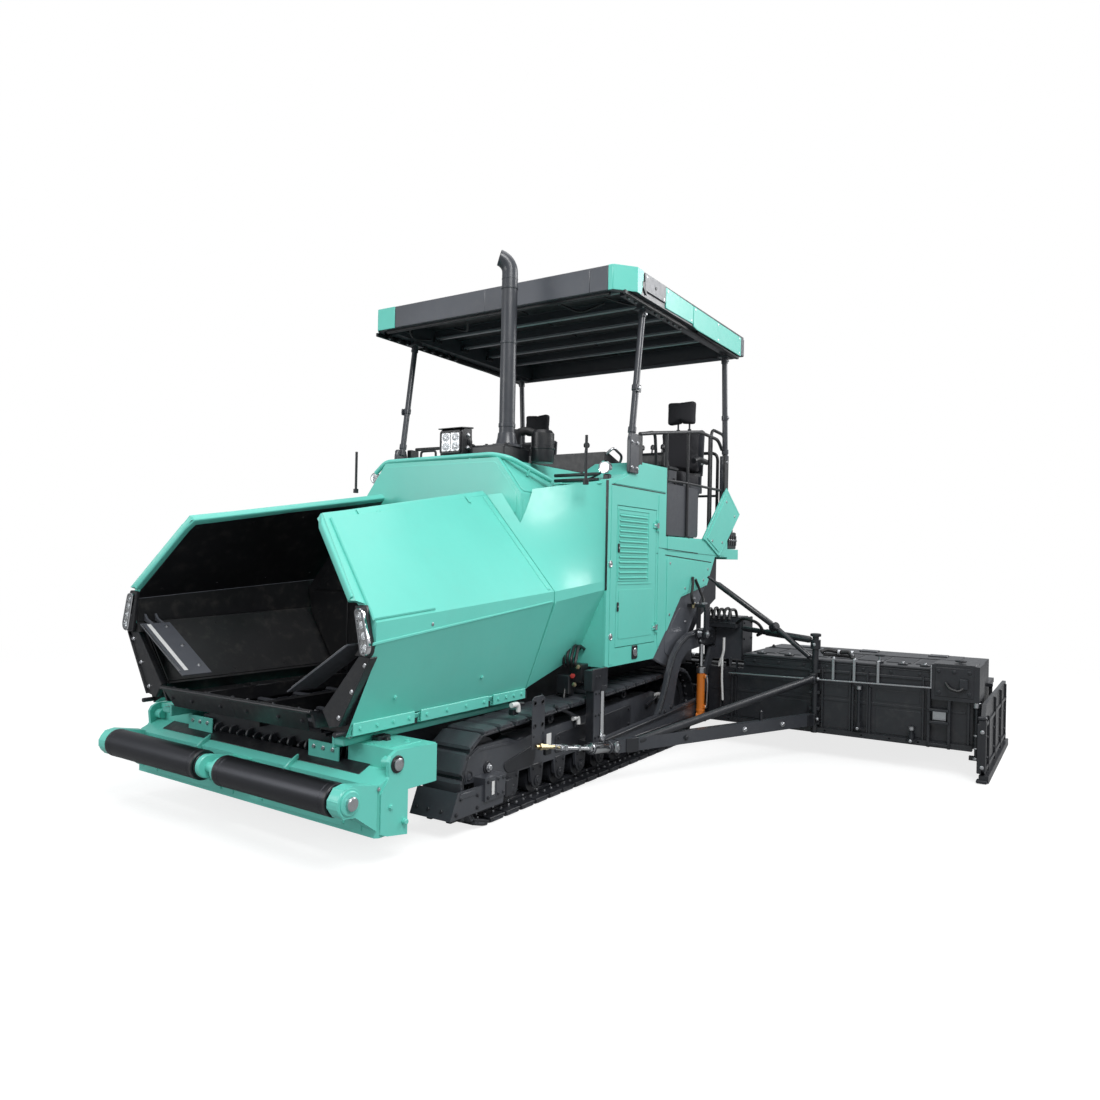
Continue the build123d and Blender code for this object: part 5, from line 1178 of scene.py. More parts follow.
post.bolts("xz", ((0.04, 2.38), (0.13, 2.38), (0.04, 2.58), (0.13, 2.58)), 1.238, Y, 0.011, 1)
post.box(-0.10, 0.01, 1.16, 1.215, 2.40, 2.66, 2, 0.006)
post.panel("xz", -1.97, -1.87, 1.90, 2.712, 1.205, 1.222, 2, 0.004, 0.01, 3)
for z in (1.98, 2.30, 2.64):
    post.bolt((-1.92, 1.222, z), Y, 0.011, 1)
for u0, u1 in ((-0.135, -0.01), (-1.91, -1.785)):
    post.panel("xy", u0, u1, 1.155, 1.255, 3.655, 3.668, 0, 0.003, 0.01, 3)
post.done("dark_paint")

# ---------------------------------------------------------------- operator's stand
desk = Piece("console_instruments", "tractor", BLACK, STEEL, ANTHRACITE, LENS, LABEL, RED, ORANGE, HOSE,
             both=True)
desk.slab([(-0.655, 0.02, 2.612), (-0.655, 0.58, 2.612), (-0.835, 0.58, 2.555), (-0.835, 0.02, 2.555)],
          0.010, (-0.3, 0, 1), 2, 0.004, 0.02, 3)
for k in range(4):
    for j in range(2):
        x, y = -0.70 - 0.07 * j, 0.10 + 0.07 * k
        z = 2.612 - (-0.655 - x) * 0.3167 + 0.009
        desk.turned((x, y, z), (x - 0.3, y, z + 0.95), [(0, 0.013), (0.006, 0.013), (0.008, 0.009),
                        (0.014, 0.008)], (1, 5, 6, 4)[k] if j else 1, 14)
desk.slab([(-0.68, 0.40, 2.614), (-0.68, 0.54, 2.614), (-0.80, 0.54, 2.576), (-0.80, 0.40, 2.576)], 0.006,
          (-0.3, 0, 1), 3, 0.002)
desk.panel("xz", -0.795, -0.80, 1.93, 2.40, 0.05, 0.55, 2, 0.001)
for z in (2.0, 2.12, 2.24):
    desk.box(-0.803, -0.797, 0.10, 0.50, z, z + 0.03, 0, 0.002)
desk.rod((-0.74, 0.30, 2.60), (-0.76, 0.30, 2.70), 0.012, 0, 12)
desk.turned((-0.76, 0.30, 2.69), (-0.78, 0.30, 2.79), [(0, 0.012), (0.015, 0.028), (0.035, 0.030),
                (0.05, 0.020)], 0, 18)
desk.pipe([(-0.60, 0.60, 2.60), (-0.62, 0.66, 2.66), (-0.80, 0.66, 2.60), (-0.80, 0.61, 2.50)], 0.012, 1,
          0.05)
# cabinet and controls in front of the seats
desk.box(-1.02, -0.84, 0.68, 1.10, 1.87, 2.48, 2, 0.012)
desk.box(-1.03, -0.83, 0.67, 1.11, 2.47, 2.50, 0, 0.008)
desk.plate("xz", [(-1.0, 2.50), (-0.86, 2.50), (-0.86, 2.62), (-0.93, 2.64)], 0.72, 1.04, 0, 0.008, 0.02, 3)
for y in (0.78, 0.88, 0.98):
    desk.turned((-0.94, y, 2.60), (-0.97, y, 2.72), [(0, 0.008), (0.07, 0.008), (0.075, 0.018),
                    (0.10, 0.020), (0.115, 0.012)], 0, 14)
desk.pipe([(-0.468, 1.0, 2.44), (-0.468, 1.0, 2.738), (-0.758, 1.0, 2.795), (-0.80, 1.0, 2.50)], 0.014, 0,
          0.06, 12, 5)
desk.pipe([(-1.76, 1.12, 1.87), (-1.76, 1.12, 2.953), (-2.10, 1.12, 2.937), (-2.10, 1.12, 2.30),
           (-1.99, 1.12, 1.88)], 0.015, 0, 0.08, 12, 5)
desk.pipe([(-0.95, 1.10, 2.40), (-1.0, 1.14, 2.2), (-0.95, 1.14, 2.0)], 0.012, 7, 0.1, 10, 5)
desk.done("black_paint")

SEAT_X, SEAT_Y = -1.45, 0.85
PAD_MESH, PAD_SWELL, CLOTH_FRAMES = 0.009, 0.024, 20


def fabric_block(name, low, high, lean):
    """A block whose edges are rounded, the start of a stuffed pad; lean shifts it along x as it rises."""
    (x0, y0, z0), (x1, y1, z1) = low, high
    mesh = bpy.data.meshes.new(name)
    build = bmesh.new()
    bmesh.ops.create_cube(build, size=1.0)
    for v in build.verts:
        v.co = Vector(((x0 + x1) / 2 + v.co.x * (x1 - x0), (y0 + y1) / 2 + v.co.y * (y1 - y0),
                       (z0 + z1) / 2 + v.co.z * (z1 - z0)))
        v.co.x += lean * (v.co.z - z0)
    bmesh.ops.bevel(build, geom=list(build.edges), offset=min(x1 - x0, z1 - z0) * 0.36, segments=4,
                    profile=0.6, affect="EDGES")
    build.to_mesh(mesh)
    build.free()
    obj = bpy.data.objects.new(name, mesh)
    bpy.context.scene.collection.objects.link(obj)
    mesh.materials.append(CLOTH)
    return obj


def apply_modifiers(obj):
    depsgraph = bpy.context.evaluated_depsgraph_get()
    mesh = bpy.data.meshes.new_from_object(obj.evaluated_get(depsgraph))
    obj.modifiers.clear()
    obj.data = mesh


def stuff(obj):
    """Blows the pad up a little as cloth over its filling, so that its faces crown and its edges pull in."""
    remesh = obj.modifiers.new("remesh", "REMESH")
    remesh.mode = "VOXEL"
    remesh.voxel_size = PAD_MESH
    apply_modifiers(obj)
    before = [v.co.copy() for v in obj.data.vertices]
    cloth = obj.modifiers.new("cloth", "CLOTH")
    cloth.settings.quality = 6
    cloth.settings.mass = 0.3
    cloth.settings.tension_stiffness = 40
    cloth.settings.compression_stiffness = 20
    cloth.settings.bending_stiffness = 2
    cloth.settings.use_pressure = True
    cloth.settings.uniform_pressure_force = 4.0
    cloth.settings.effector_weights.gravity = 0.0
    cloth.point_cache.frame_start = 1
    cloth.point_cache.frame_end = CLOTH_FRAMES
    for step in range(1, CLOTH_FRAMES + 1):
        bpy.context.scene.frame_set(step)
    apply_modifiers(obj)
    bpy.context.scene.frame_set(1)
    for v, start in zip(obj.data.vertices, before):
        move = v.co - start
        if move.length > PAD_SWELL:
            v.co = start + move.normalized() * PAD_SWELL
    smooth = obj.modifiers.new("smooth", "SUBSURF")
    smooth.levels = 1
    smooth.render_levels = 1
    apply_modifiers(obj)
    obj.data.polygons.foreach_set("use_smooth", [True] * len(obj.data.polygons))


def seat(side, tag):
    body = "seat_" + tag
    y = side * SEAT_Y
    pads = [("seat_cushion_", (-1.645, -0.222, 2.386), (-1.228, 0.222, 2.482), 0.0),
            ("seat_back_", (-1.672, -0.206, 2.51), (-1.588, 0.206, 2.93), -0.045),
            ("headrest_", (-1.700, -0.142, 2.998), (-1.616, 0.142, 3.222), -0.02)]
    for stem, low, high, lean in pads:
        (x0, y0, z0), (x1, y1, z1) = low, high
        obj = fabric_block(stem + tag, (x0, y + y0, z0), (x1, y + y1, z1), lean)
        stuff(obj)
        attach(obj, body)
        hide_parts("seat_cushions_" + tag)
    shell = Piece("seat_shell_" + tag, body, ANTHRACITE, STEEL, BLACK, HOSE, side=side)
    shell.plate("xz", [(-1.70, 2.49), (-1.68, 2.49), (-1.705, 2.93), (-1.735, 2.93)], SEAT_Y - 0.215,
                SEAT_Y + 0.215, 0, 0.004, 0.006, 2)
    for dy in (-0.06, 0.06):
        shell.ring((-1.712, SEAT_Y + dy, 2.93), (-1.712, SEAT_Y + dy, 2.96), 0.018, 0.009, 2, 18)
    # bellows round the pedestal, slides and base
    profile = []
    for k in range(9):
        profile += [(0.03 * k, 0.125), (0.03 * k + 0.015, 0.105)]
    shell.cap((SEAT_X, SEAT_Y, 2.03), Z, [(0, 0.095)] + [(0.003 + d, r) for d,
                  r in profile] + [(0.28, 0.095)], 3, 28)
    shell.panel("xy", -1.63, -1.27, SEAT_Y - 0.17, SEAT_Y + 0.17, 1.871, 1.895, 2, 0.005, 0.03, 4)
    for dx in (-0.14, 0.14):
        for dy in (-0.13, 0.13):
            shell.bolt((SEAT_X + dx, SEAT_Y + dy, 1.895), Z, 0.012, 1)
    for dy in (-0.19, 0.19):
        shell.box(-1.65, -1.25, SEAT_Y + dy - 0.012, SEAT_Y + dy + 0.012, 2.296, 2.322, 1, 0.003)
    for dy in (-0.262, 0.262):
        shell.pipe([(-1.68, SEAT_Y + dy, 2.62), (-1.46, SEAT_Y + dy, 2.63), (-1.36, SEAT_Y + dy, 2.60)],
                   0.026, 2, 0.05, 12)
        shell.rod((-1.66, SEAT_Y + dy * 0.82, 2.60), (-1.66, SEAT_Y + dy, 2.62), 0.012, 1, 12)
    shell.rod((-1.30, SEAT_Y + 0.222, 2.35), (-1.30, SEAT_Y + 0.26, 2.35), 0.016, 2, 14)
    shell.done("dark_paint")


for side, tag in SIDES:
    seat(side, tag)

# ---------------------------------------------------------------- tow points and struts
tow = Piece("tow_point_fittings", "tractor", CAST, STEEL, CHROME, ANTHRACITE, LABEL, BRASS, HOSE, both=True)
# slide column: channel, levelling rod and its collars
tow.box(0.545, 0.635, 1.222, 1.232, 0.30, 0.85, 3, 0.003)
tow.box(0.655, 0.665, 1.158, 1.23, 0.70, 0.85, 0, 0.003)
for z in (0.36, 0.52, 0.68, 0.80):
    for x in (0.565, 0.615):
        tow.bolt((x, 1.232, z), Y, 0.009, 0)
tow.rod((0.50, 1.215, 0.33), (0.50, 1.215, 0.72), 0.024, 2, 20)
tow.ring((0.50, 1.215, 0.335), (0.50, 1.215, 0.36), 0.036, 0.024, 1, 22)
tow.ring((0.50, 1.215, 0.69), (0.50, 1.215, 0.73), 0.040, 0.024, 0, 22)
tow.panel("xz", 0.44, 0.66, 0.70, 0.86, 1.222, 1.234, 0, 0.004, 0.01, 3)
tow.panel("xz", 0.455, 0.545, 0.25, 0.335, 1.226, 1.234, 0, 0.003, 0.012, 3)
tow.cap((0.50, 1.352, 0.29), Y, [(0, 0.042), (0.010, 0.042), (0.013, 0.036), (0.013, 0.024),
                                 (0.022, 0.022), (0.024, 0.012)], 1, 24)
# strut: silver sleeve, clevises, turnbuckle rods and their nuts
a, b = Vector((0.835, 1.322, 0.3315)), Vector((0.56, 1.322, 0.292))
axis = (b - a).normalized()
tow.turned(a, b, [(0, 0.034), (0.006, 0.0405), (0.262, 0.0405), (0.272, 0.036)], 2, 32)
for d in (0.0, 0.25):
    tow.ring(a + axis * d, a + axis * (d + 0.014), 0.044, 0.038, 3, 32)
c = Vector((1.385, 1.235, 0.430))
way = (Vector((0.82, 1.322, 0.330)) - c).normalized()
across = way.cross(Z).normalized()
for s in (-0.020, 0.020):
    tow.rod(c + way * 0.26 + across * s, c + way * 0.56 + across * s, 0.0115, 2, 14)
for d in (0.26, 0.40, 0.53):
    q = c + way * d
    tow.slab([q - across * 0.036 + Z * 0.020, q + across * 0.036 + Z * 0.020,
              q + across * 0.036 - Z * 0.020, q - across * 0.036 - Z * 0.020], 0.022, way, 1, 0.003,
             0.008, 2)
for s in (-0.018, 0.018):
    tow.slab([c + way * 0.16 + across * s + Z * 0.016, c + way * 0.27 + across * s + Z * 0.016,
              c + way * 0.27 + across * s - Z * 0.016, c + way * 0.16 + across * s - Z * 0.016], 0.008,
             across, 1, 0.002, 0.012, 3)
tow.rod(c + way * 0.20 - across * 0.04, c + way * 0.20 + across * 0.045, 0.010, 5, 14)
tow.turned(c + way * 0.05, c + way * 0.2, [(0, 0.020), (0.05, 0.020), (0.055, 0.014), (0.12, 0.014)], 5, 6)
tow.turned(c - way * 0.01, c + way * 0.2, [(0, 0.012), (0.03, 0.012), (0.032, 0.024), (0.055, 0.024),
               (0.057, 0.012)], 5, 6)
tow.bolt(c + way * 0.2 + across * 0.045, across, 0.012, 1)
tow.box(1.205, 1.26, 1.226, 1.230, 0.385, 0.49, 4, 0.001)
tow.box(1.19, 1.26, 1.200, 1.226, 0.345, 0.40, 0, 0.004)
# face of the drilled plate, with its folded edge
tow.plate("xz", [(1.25, 0.405), (1.25, 0.735), (1.274, 0.75), (1.376, 0.75), (1.40, 0.735),
                 (1.40, 0.405)], 1.199, 1.205, 3, 0.003, 0.012, 3)
tow.panel("yz", 1.166, 1.174, 0.40, 0.75, 1.236, 1.246, 0, 0.002)
for x in (1.28, 1.37):
    for z in (0.555, 0.705):
        tow.ring((x, 1.2035, z), (x, 1.208, z), 0.019, 0.0125, 0, 20)
        tow.cap((x, 1.204, z), Y, [(0, 0.013), (0.001, 0.012)], 6, 16)
tow.done("black_paint")

# ---------------------------------------------------------------- screed arms, lift cylinders and braces
arm = Piece("tow_arm_fittings", "screed", SCREED, STEEL, CAST, HOSE, LABEL, both=True)
out_y = 1.265
arm.slab([(0.52, out_y, 0.335), (-1.19, out_y, 0.405), (-1.21, out_y, 0.375), (0.52, out_y, 0.31)], 0.006,
         Y, 0, 0.002)
arm.slab([(0.50, out_y, 0.262), (-1.20, out_y, 0.262), (-1.22, out_y, 0.285), (0.50, out_y, 0.285)],
         0.006, Y, 0, 0.002)
arm.sweep([(-0.40, out_y - 0.015, 0.40), (-0.52, out_y - 0.015, 0.575), (-0.60, out_y - 0.015, 0.73),
           (-0.69, out_y - 0.015, 0.86), (-0.82, out_y - 0.015, 0.945), (-0.96, out_y - 0.015, 0.995),
           (-1.25, out_y - 0.015, 1.025), (-1.60, out_y - 0.015, 1.025)], bar(0.026, 0.010, 0.004, 2),
          (-0.8, 0, 0.6), 0)
arm.bolts("xz", ((-0.62, 0.42), (-0.50, 0.40), (-1.30, 0.96), (-1.50, 0.96), (-1.45, 0.62), (-1.62, 0.82),
                 (-1.95, 0.85), (-1.95, 0.36), (-1.85, 0.83)), out_y, Y, 0.014, 2)
arm.slab([(-1.30, out_y, 0.90), (-1.60, out_y, 0.91), (-1.60, out_y, 1.0), (-1.30, out_y, 1.0)], 0.008, Y,
         0, 0.002, 0.02, 3)
arm.panel("xz", -1.86, -1.59, 0.75, 1.15, 1.528, 1.536, 0, 0.003, 0.015, 3)
for x in (-1.82, -1.63):
    for z in (0.80, 0.95, 1.10):
        arm.bolt((x, 1.535, z), Y, 0.012, 2)
arm.box(-1.84, -1.60, 1.19, 1.50, 1.139, 1.152, 0, 0.004)
for k in range(5):
    arm.pipe([(-1.64, 1.22 + 0.06 * k, 1.145), (-1.60, 1.22 + 0.06 * k, 1.22 + 0.015 * (k % 2)),
              (-1.50, 1.24 + 0.05 * k, 1.22), (-1.46, 1.25 + 0.05 * k, 1.13)], 0.014, 3, 0.07, 10, 5)
arm.box(-1.74, -1.50, 1.20, 1.50, 1.05, 1.10, 2, 0.006)
arm.cap((-1.156, 1.352, 0.27), Y, [(0, 0.042), (0.010, 0.042), (0.012, 0.03), (0.02, 0.028),
                                   (0.022, 0.015)], 1, 24)
arm.pipe([(-1.50, 1.39, 0.96), (-1.49, 1.393, 0.82), (-1.50, 1.35, 0.72), (-1.50, 1.33, 0.56),
          (-1.52, 1.32, 0.44)], 0.012, 4, 0.06, 12, 5)
# stays from the arm's head to the wall's post
arm.pipe([(-1.30, 1.30, 1.525), (-1.33, 1.42, 1.44)], 0.014, 2, 0.02, 12)
arm.turned((-1.32, 1.38, 1.465), (-1.39, 1.90, 1.10), [(0, 0.018), (0.02, 0.026), (0.60, 0.026),
               (0.62, 0.018)], 0, 20)
arm.turned((-1.385, 1.88, 1.115), (-1.38, 2.225, 0.85), [(0, 0.018), (0.01, 0.024), (0.42, 0.024),
               (0.43, 0.016)], 0, 20)
arm.turned((-1.52, 1.56, 1.055), (-1.38, 2.22, 1.005), [(0, 0.020), (0.03, 0.024), (0.24, 0.024),
               (0.25, 0.030), (0.66, 0.030), (0.68, 0.024)], 0, 20)
arm.rod((-1.40, 1.87, 1.08), (-1.36, 1.93, 1.11), 0.036, 2, 18, 0.006)
arm.pipe([(-1.53, 1.50, 1.10), (-1.44, 1.60, 1.16), (-1.42, 1.74, 1.12), (-1.46, 1.78, 1.04),
          (-1.52, 1.70, 1.0)], 0.014, 3, 0.10, 10, 6)
arm.done("black_paint")

stand = Piece("lift_bracket_fittings", "tractor", CAST, STEEL, HOSE, BRASS, both=True)
for x in (-1.19, -1.12):
    for y in (1.33, 1.25):
        stand.bolt((x, y, 1.28), Z, 0.014, 1)
stand.plate("xz", [(-1.20, 1.24), (-1.11, 1.24), (-1.115, 1.05), (-1.135, 1.02), (-1.177, 1.02),
                   (-1.196, 1.05)], 1.358, 1.366, 0, 0.003, 0.01, 2)
stand.cap((-1.156, 1.362, 1.01), Y, [(0, 0.034), (0.008, 0.034), (0.010, 0.02), (0.018, 0.018)], 1, 22)
stand.pipe([(-1.10, 1.25, 1.27), (-1.05, 1.25, 1.34), (-1.10, 1.24, 1.45), (-1.12, 1.23, 1.52)], 0.013, 2,
           0.06, 10, 5)
stand.pipe([(-1.20, 1.30, 1.27), (-1.26, 1.28, 1.32), (-1.24, 1.24, 1.42), (-1.20, 1.22, 1.50)], 0.013, 2,
           0.06, 10, 5)
stand.rod((-1.10, 1.25, 1.24), (-1.10, 1.25, 1.29), 0.018, 3, 6)
stand.done("black_paint")

for side, tag in SIDES:
    x, y = -1.156, 1.31
    barrel = Piece("lift_barrel_fittings_" + tag, "lift_cylinder_" + tag, ORANGE, STEEL, BLACK, side=side)
    barrel.ring((x, y, 0.66), (x, y, 0.712), 0.041, 0.0355, 1, 28)
    barrel.ring((x, y, 0.708), (x, y, 0.722), 0.030, 0.0215, 2, 24)
    barrel.ring((x, y, 0.315), (x, y, 0.335), 0.040, 0.0355, 0, 28)
    for z in (0.36, 0.63):
        barrel.box(x - 0.018, x + 0.018, y + 0.030, y + 0.052, z - 0.016, z + 0.016, 0, 0.004)
        barrel.cap((x, y + 0.05, z), Y, [(0, 0.014), (0.012, 0.014), (0.014, 0.010)], 1, 6)
    barrel.pipe([(x, y + 0.058, 0.63), (x + 0.012, y + 0.070, 0.58), (x + 0.012, y + 0.066, 0.42),
                 (x, y + 0.058, 0.37)], 0.007, 1, 0.03, 10)
    barrel.done("orange_paint")
    eye = Piece("lift_rod_fittings_" + tag, "lift_rod_" + tag, CHROME, STEEL, CAST, side=side)
    eye.cap((x, y, 0.92), Z, [(0, 0.021), (0.01, 0.030), (0.04, 0.030), (0.055, 0.040)], 2, 22)
    for s in (-1, 1):
        eye.ring((x, y + s * 0.0255, 1.01), (x, y + s * 0.0205, 1.01), 0.050, 0.036, 2, 28, 0.001)
    eye.bolt((x + 0.03, y, 0.95), X, 0.008, 1)
    eye.done("bare_steel")

brace = Piece("brace_fittings", "screed", SCREED, STEEL, CAST, both=True)
foot, nose = Vector((-1.30, 2.262, 0.334)), Vector((0.505, 1.326, 0.29))
run = (nose - foot).normalized()
normal = run.cross(Z).normalized()
if normal.y < 0:
    normal = -normal
for t in (0.385, 0.18, 0.68):
    p = foot.lerp(nose, t) + normal * 0.030
    brace.bolt(p, normal, 0.017, 1 if t < 0.6 else 2)
p = foot.lerp(nose, 0.285)
brace.rod(p, p + Z * 0.115, 0.014, 0, 14)
brace.turned(p + Z * 0.115, p + Z * 0.2, [(0, 0.014), (0.006, 0.018), (0.014, 0.014)], 0, 14)
for t0, t1 in ((0.006, 0.04), (0.90, 0.955)):
    q0, q1 = foot.lerp(nose, t0), foot.lerp(nose, t1)
    brace.slab([q0 + Z * 0.052 + normal * 0.03, q1 + Z * 0.052 + normal * 0.03,
                q1 - Z * 0.052 + normal * 0.03, q0 - Z * 0.052 + normal * 0.03], 0.008, normal, 0, 0.002,
               0.01, 2)
high = Vector((-1.315, 2.262, 0.678))
low = Vector((0.505, 1.326, 0.29)) - (nose - foot) * 0.06
brace.turned(high, low, [(0.0, 0.020), (0.02, 0.034), (0.05, 0.034), (0.055, 0.0305), (1.80, 0.0305),
                         (1.82, 0.034), (1.86, 0.034), (1.88, 0.02)], 0, 24)
for z in (0.334, 0.678):
    brace.box(-1.375, -1.30, 2.235, 2.289, z - 0.045, z + 0.045, 0, 0.006)
    brace.rod((-1.335, 2.225, z), (-1.335, 2.30, z), 0.016, 2, 14)
    brace.bolt((-1.335, 2.30, z), Y, 0.015, 1)
brace.done("black_paint")

# ---------------------------------------------------------------- walls in front of the extended screed
wall = Piece("screed_wall_fittings", "screed", SCREED, STEEL, CAST, HOSE, LABEL, both=True)
WX = -1.4  # front face of the wall

wall.cap((WX - 0.004, 1.62, 0.829), Y, [(0, 0.008), (0.004, 0.012), (1.746, 0.012), (1.75, 0.008)], 0, 14)
wall.panel("yz", 1.63, 3.19, 0.806, 0.812, WX, WX + 0.006, 0, 0.002)
wall.panel("yz", 1.64, 3.19, 0.735, 0.758, WX, WX + 0.016, 0, 0.003)
wall.panel("yz", 1.30, 3.44, 0.494, 0.517, WX, WX + 0.005, 0, 0.002)
wall.panel("yz", 1.30, 3.48, 0.229, 0.250, WX, WX + 0.030, 0, 0.004)
wall.sweep([(-1.352, 1.50, 0.658), (-1.352, 3.34, 0.691)], bar(0.008, 0.006, 0.003, 2), (0, 0, 1), 1)
for y in (1.417, 1.522, 2.582, 2.718, 3.164, 3.325, 3.461):
    wall.box(WX - 0.001, WX + 0.028, y - 0.009, y + 0.009, 0.235, 0.64 if y < 3.4 else 0.60, 0, 0.002)
for y0, y1 in ((1.60, 2.20), (2.76, 3.12)):
    wall.panel("yz", y0, y1, 0.27, 0.475, WX, WX + 0.004, 0, 0.002, 0.02, 3)
for y0, y1 in ((1.68, 2.22), (2.32, 2.54), (2.76, 3.10)):
    wall.panel("yz", y0, y1, 0.535, 0.63, WX, WX + 0.003, 0, 0.002, 0.02, 3)
for y in (2.419, 2.591, 2.782, 3.193):
    wall.box(-1.372, -1.365, y - 0.011, y + 0.011, 0.68, 0.862, 1, 0.002)
    wall.box(-1.43, -1.366, y - 0.011, y + 0.011, 0.856, 0.864, 1, 0.002)
    wall.bolt((-1.385, y, 0.864), Z, 0.010, 1)
wall.pipe([(-1.36, 1.43, 0.813), (-1.36, 1.43, 0.60), (-1.365, 1.44, 0.403)], 0.010, 4, 0.05, 12)
for y in (1.50, 1.72, 1.94, 2.16, 2.36, 2.66, 2.88, 3.10):
    wall.bolt((WX + 0.005, y, 0.785), X, 0.010, 2)
    wall.bolt((WX + 0.030, y, 0.240), X, 0.010, 2)
# step ladder
for y in (3.175, 3.325):
    wall.box(-1.372, -1.345, y - 0.012, y + 0.012, 0.213, 0.69, 0, 0.003)
for z in (0.242, 0.417, 0.515):
    wall.box(-1.366, -1.330, 3.175, 3.325, z - 0.010, z + 0.010, 0, 0.003)
wall.box(-1.392, -1.380, 3.20, 3.30, 0.43, 0.50, 1, 0.002)
# spindles
for y, z0, z1 in ((2.637, 0.300, 0.648), (3.050, 0.25, 0.36)):
    wall.rod((-1.35, y, z0), (-1.35, y, z1), 0.013, 2, 14)
    wall.cap((-1.35, y, z0 - 0.004), Z, [(0, 0.040), (0.010, 0.040), (0.012, 0.02), (0.05, 0.02),
                 (0.052, 0.013)], 2, 20)
    wall.cap((-1.35, y, z1 - 0.03), Z, [(0, 0.013), (0.004, 0.024), (0.03, 0.024), (0.034, 0.013)], 1, 18)
    wall.bolt((-1.31, y, z0), X, 0.009, 1)
# hoses, handwheels and caps on the deck
wall.pipe([(-1.43, 2.30, 0.90), (-1.46, 2.34, 0.925), (-1.48, 2.44, 0.905), (-1.47, 2.53, 0.912),
           (-1.46, 2.555, 0.86)], 0.017, 3, 0.05, 12, 5)
wall.pipe([(-1.46, 2.31, 0.88), (-1.50, 2.42, 0.875), (-1.52, 2.56, 0.87)], 0.014, 3, 0.06, 10, 5)
for y in (2.30, 2.43, 2.54):
    wall.ring((-1.466, y, 0.905), (-1.468, y + 0.02, 0.904), 0.026, 0.014, 1, 12)
for x, y in ((-1.50, 2.77), (-1.50, 3.386)):
    wall.rod((x, y, 0.84), (x, y, 0.905), 0.013, 1, 14)
    wall.cap((x, y, 0.895), Z, [(0.0, 0.036), (0.004, 0.044), (0.012, 0.044), (0.016, 0.036)], 2, 28)
    wall.cap((x, y, 0.84), Z, [(0, 0.030), (0.012, 0.030), (0.014, 0.016)], 2, 20)
for y in (1.75, 2.0, 2.2, 2.95, 3.12):
    wall.box(-1.55, -1.47, y - 0.035, y + 0.035, 0.838, 0.852, 2, 0.004)
    wall.bolt((-1.51, y, 0.852), Z, 0.012, 1)
for k in range(8):
    y = 1.64 + 0.232 * k
    wall.box(-2.03, -1.60, y, y + 0.20, 0.839, 0.845, 2, 0.002)
# end housing
wall.box(-1.342, -1.334, 3.22, 3.50, 0.63, 0.86, 0, 0.003)
wall.bolts("yz", ((3.25, 0.66), (3.25, 0.83), (3.47, 0.66), (3.47, 0.83), (3.36, 0.83)), -1.334, X, 0.012, 2)
wall.box(-1.66, -1.36, 3.21, 3.51, 0.878, 0.886, 0, 0.003)
wall.box(-1.33, -1.30, 3.40, 3.46, 0.70, 0.78, 2, 0.004)
wall.pipe([(-1.32, 3.30, 0.74), (-1.29, 3.33, 0.70), (-1.29, 3.40, 0.68), (-1.32, 3.44, 0.72)], 0.012, 3,
          0.03, 10)
wall.ring((-1.37, 3.52, 0.56), (-1.37, 3.52, 0.60), 0.030, 0.0145, 1, 20)
wall.ring((-1.37, 3.52, 0.155), (-1.37, 3.52, 0.175), 0.028, 0.0145, 1, 20)
# post that takes the brace
wall.ring((-1.36, 2.27, 0.93), (-1.36, 2.27, 1.01), 0.042, 0.0275, 0, 24)
wall.cap((-1.36, 2.27, 1.035), Z, [(0, 0.030), (0.004, 0.045), (0.024, 0.045), (0.028, 0.038),
                                   (0.030, 0.02)], 0, 24)
wall.bolt((-1.318, 2.27, 0.97), X, 0.010, 1)
for z in (0.30, 0.42, 0.56, 0.74):
    wall.box(WX, WX + 0.055, 2.225, 2.315, z - 0.014, z + 0.014, 0, 0.003)
wall.done("black_paint")

for side, tag in SIDES:
    gate = Piece("end_gate_fittings_" + tag, "end_gate_" + tag, SCREED, STEEL, CAST, side=side)
    for z0, z1 in ((0.10, 0.125), (0.44, 0.465)):
        gate.panel("xz", -1.29, -2.98, z0, z1, 3.59, 3.602, 0, 0.003)
    for x in (-1.45, -1.95, -2.45, -2.90):
        gate.box(x - 0.010, x + 0.010, 3.589, 3.606, 0.07, 0.585 if x < -1.5 else 0.50, 0, 0.003)
        for z in (0.18, 0.34):
            gate.bolt((x + 0.05, 3.59, z), Y, 0.011, 2)
    gate.box(-1.27, -1.235, 3.545, 3.60, 0.10, 0.49, 0, 0.005)
    gate.box(-1.262, -1.232, 3.538, 3.568, 0.08, 0.46, 0, 0.004)
    gate.box(-1.275, -1.23, 3.54, 3.605, 0.49, 0.515, 0, 0.006)
    gate.box(-1.30, -1.228, 3.535, 3.612, 0.006, 0.030, 2, 0.006)
    for z in (0.13, 0.40):
        gate.bolt((-1.232, 3.575, z), X, 0.011, 1)
    for z in (0.245, 0.345):
        gate.ring((-1.37, 3.52, z - 0.006), (-1.37, 3.52, z + 0.006), 0.027, 0.0155, 1, 20)
    gate.done("black_paint")

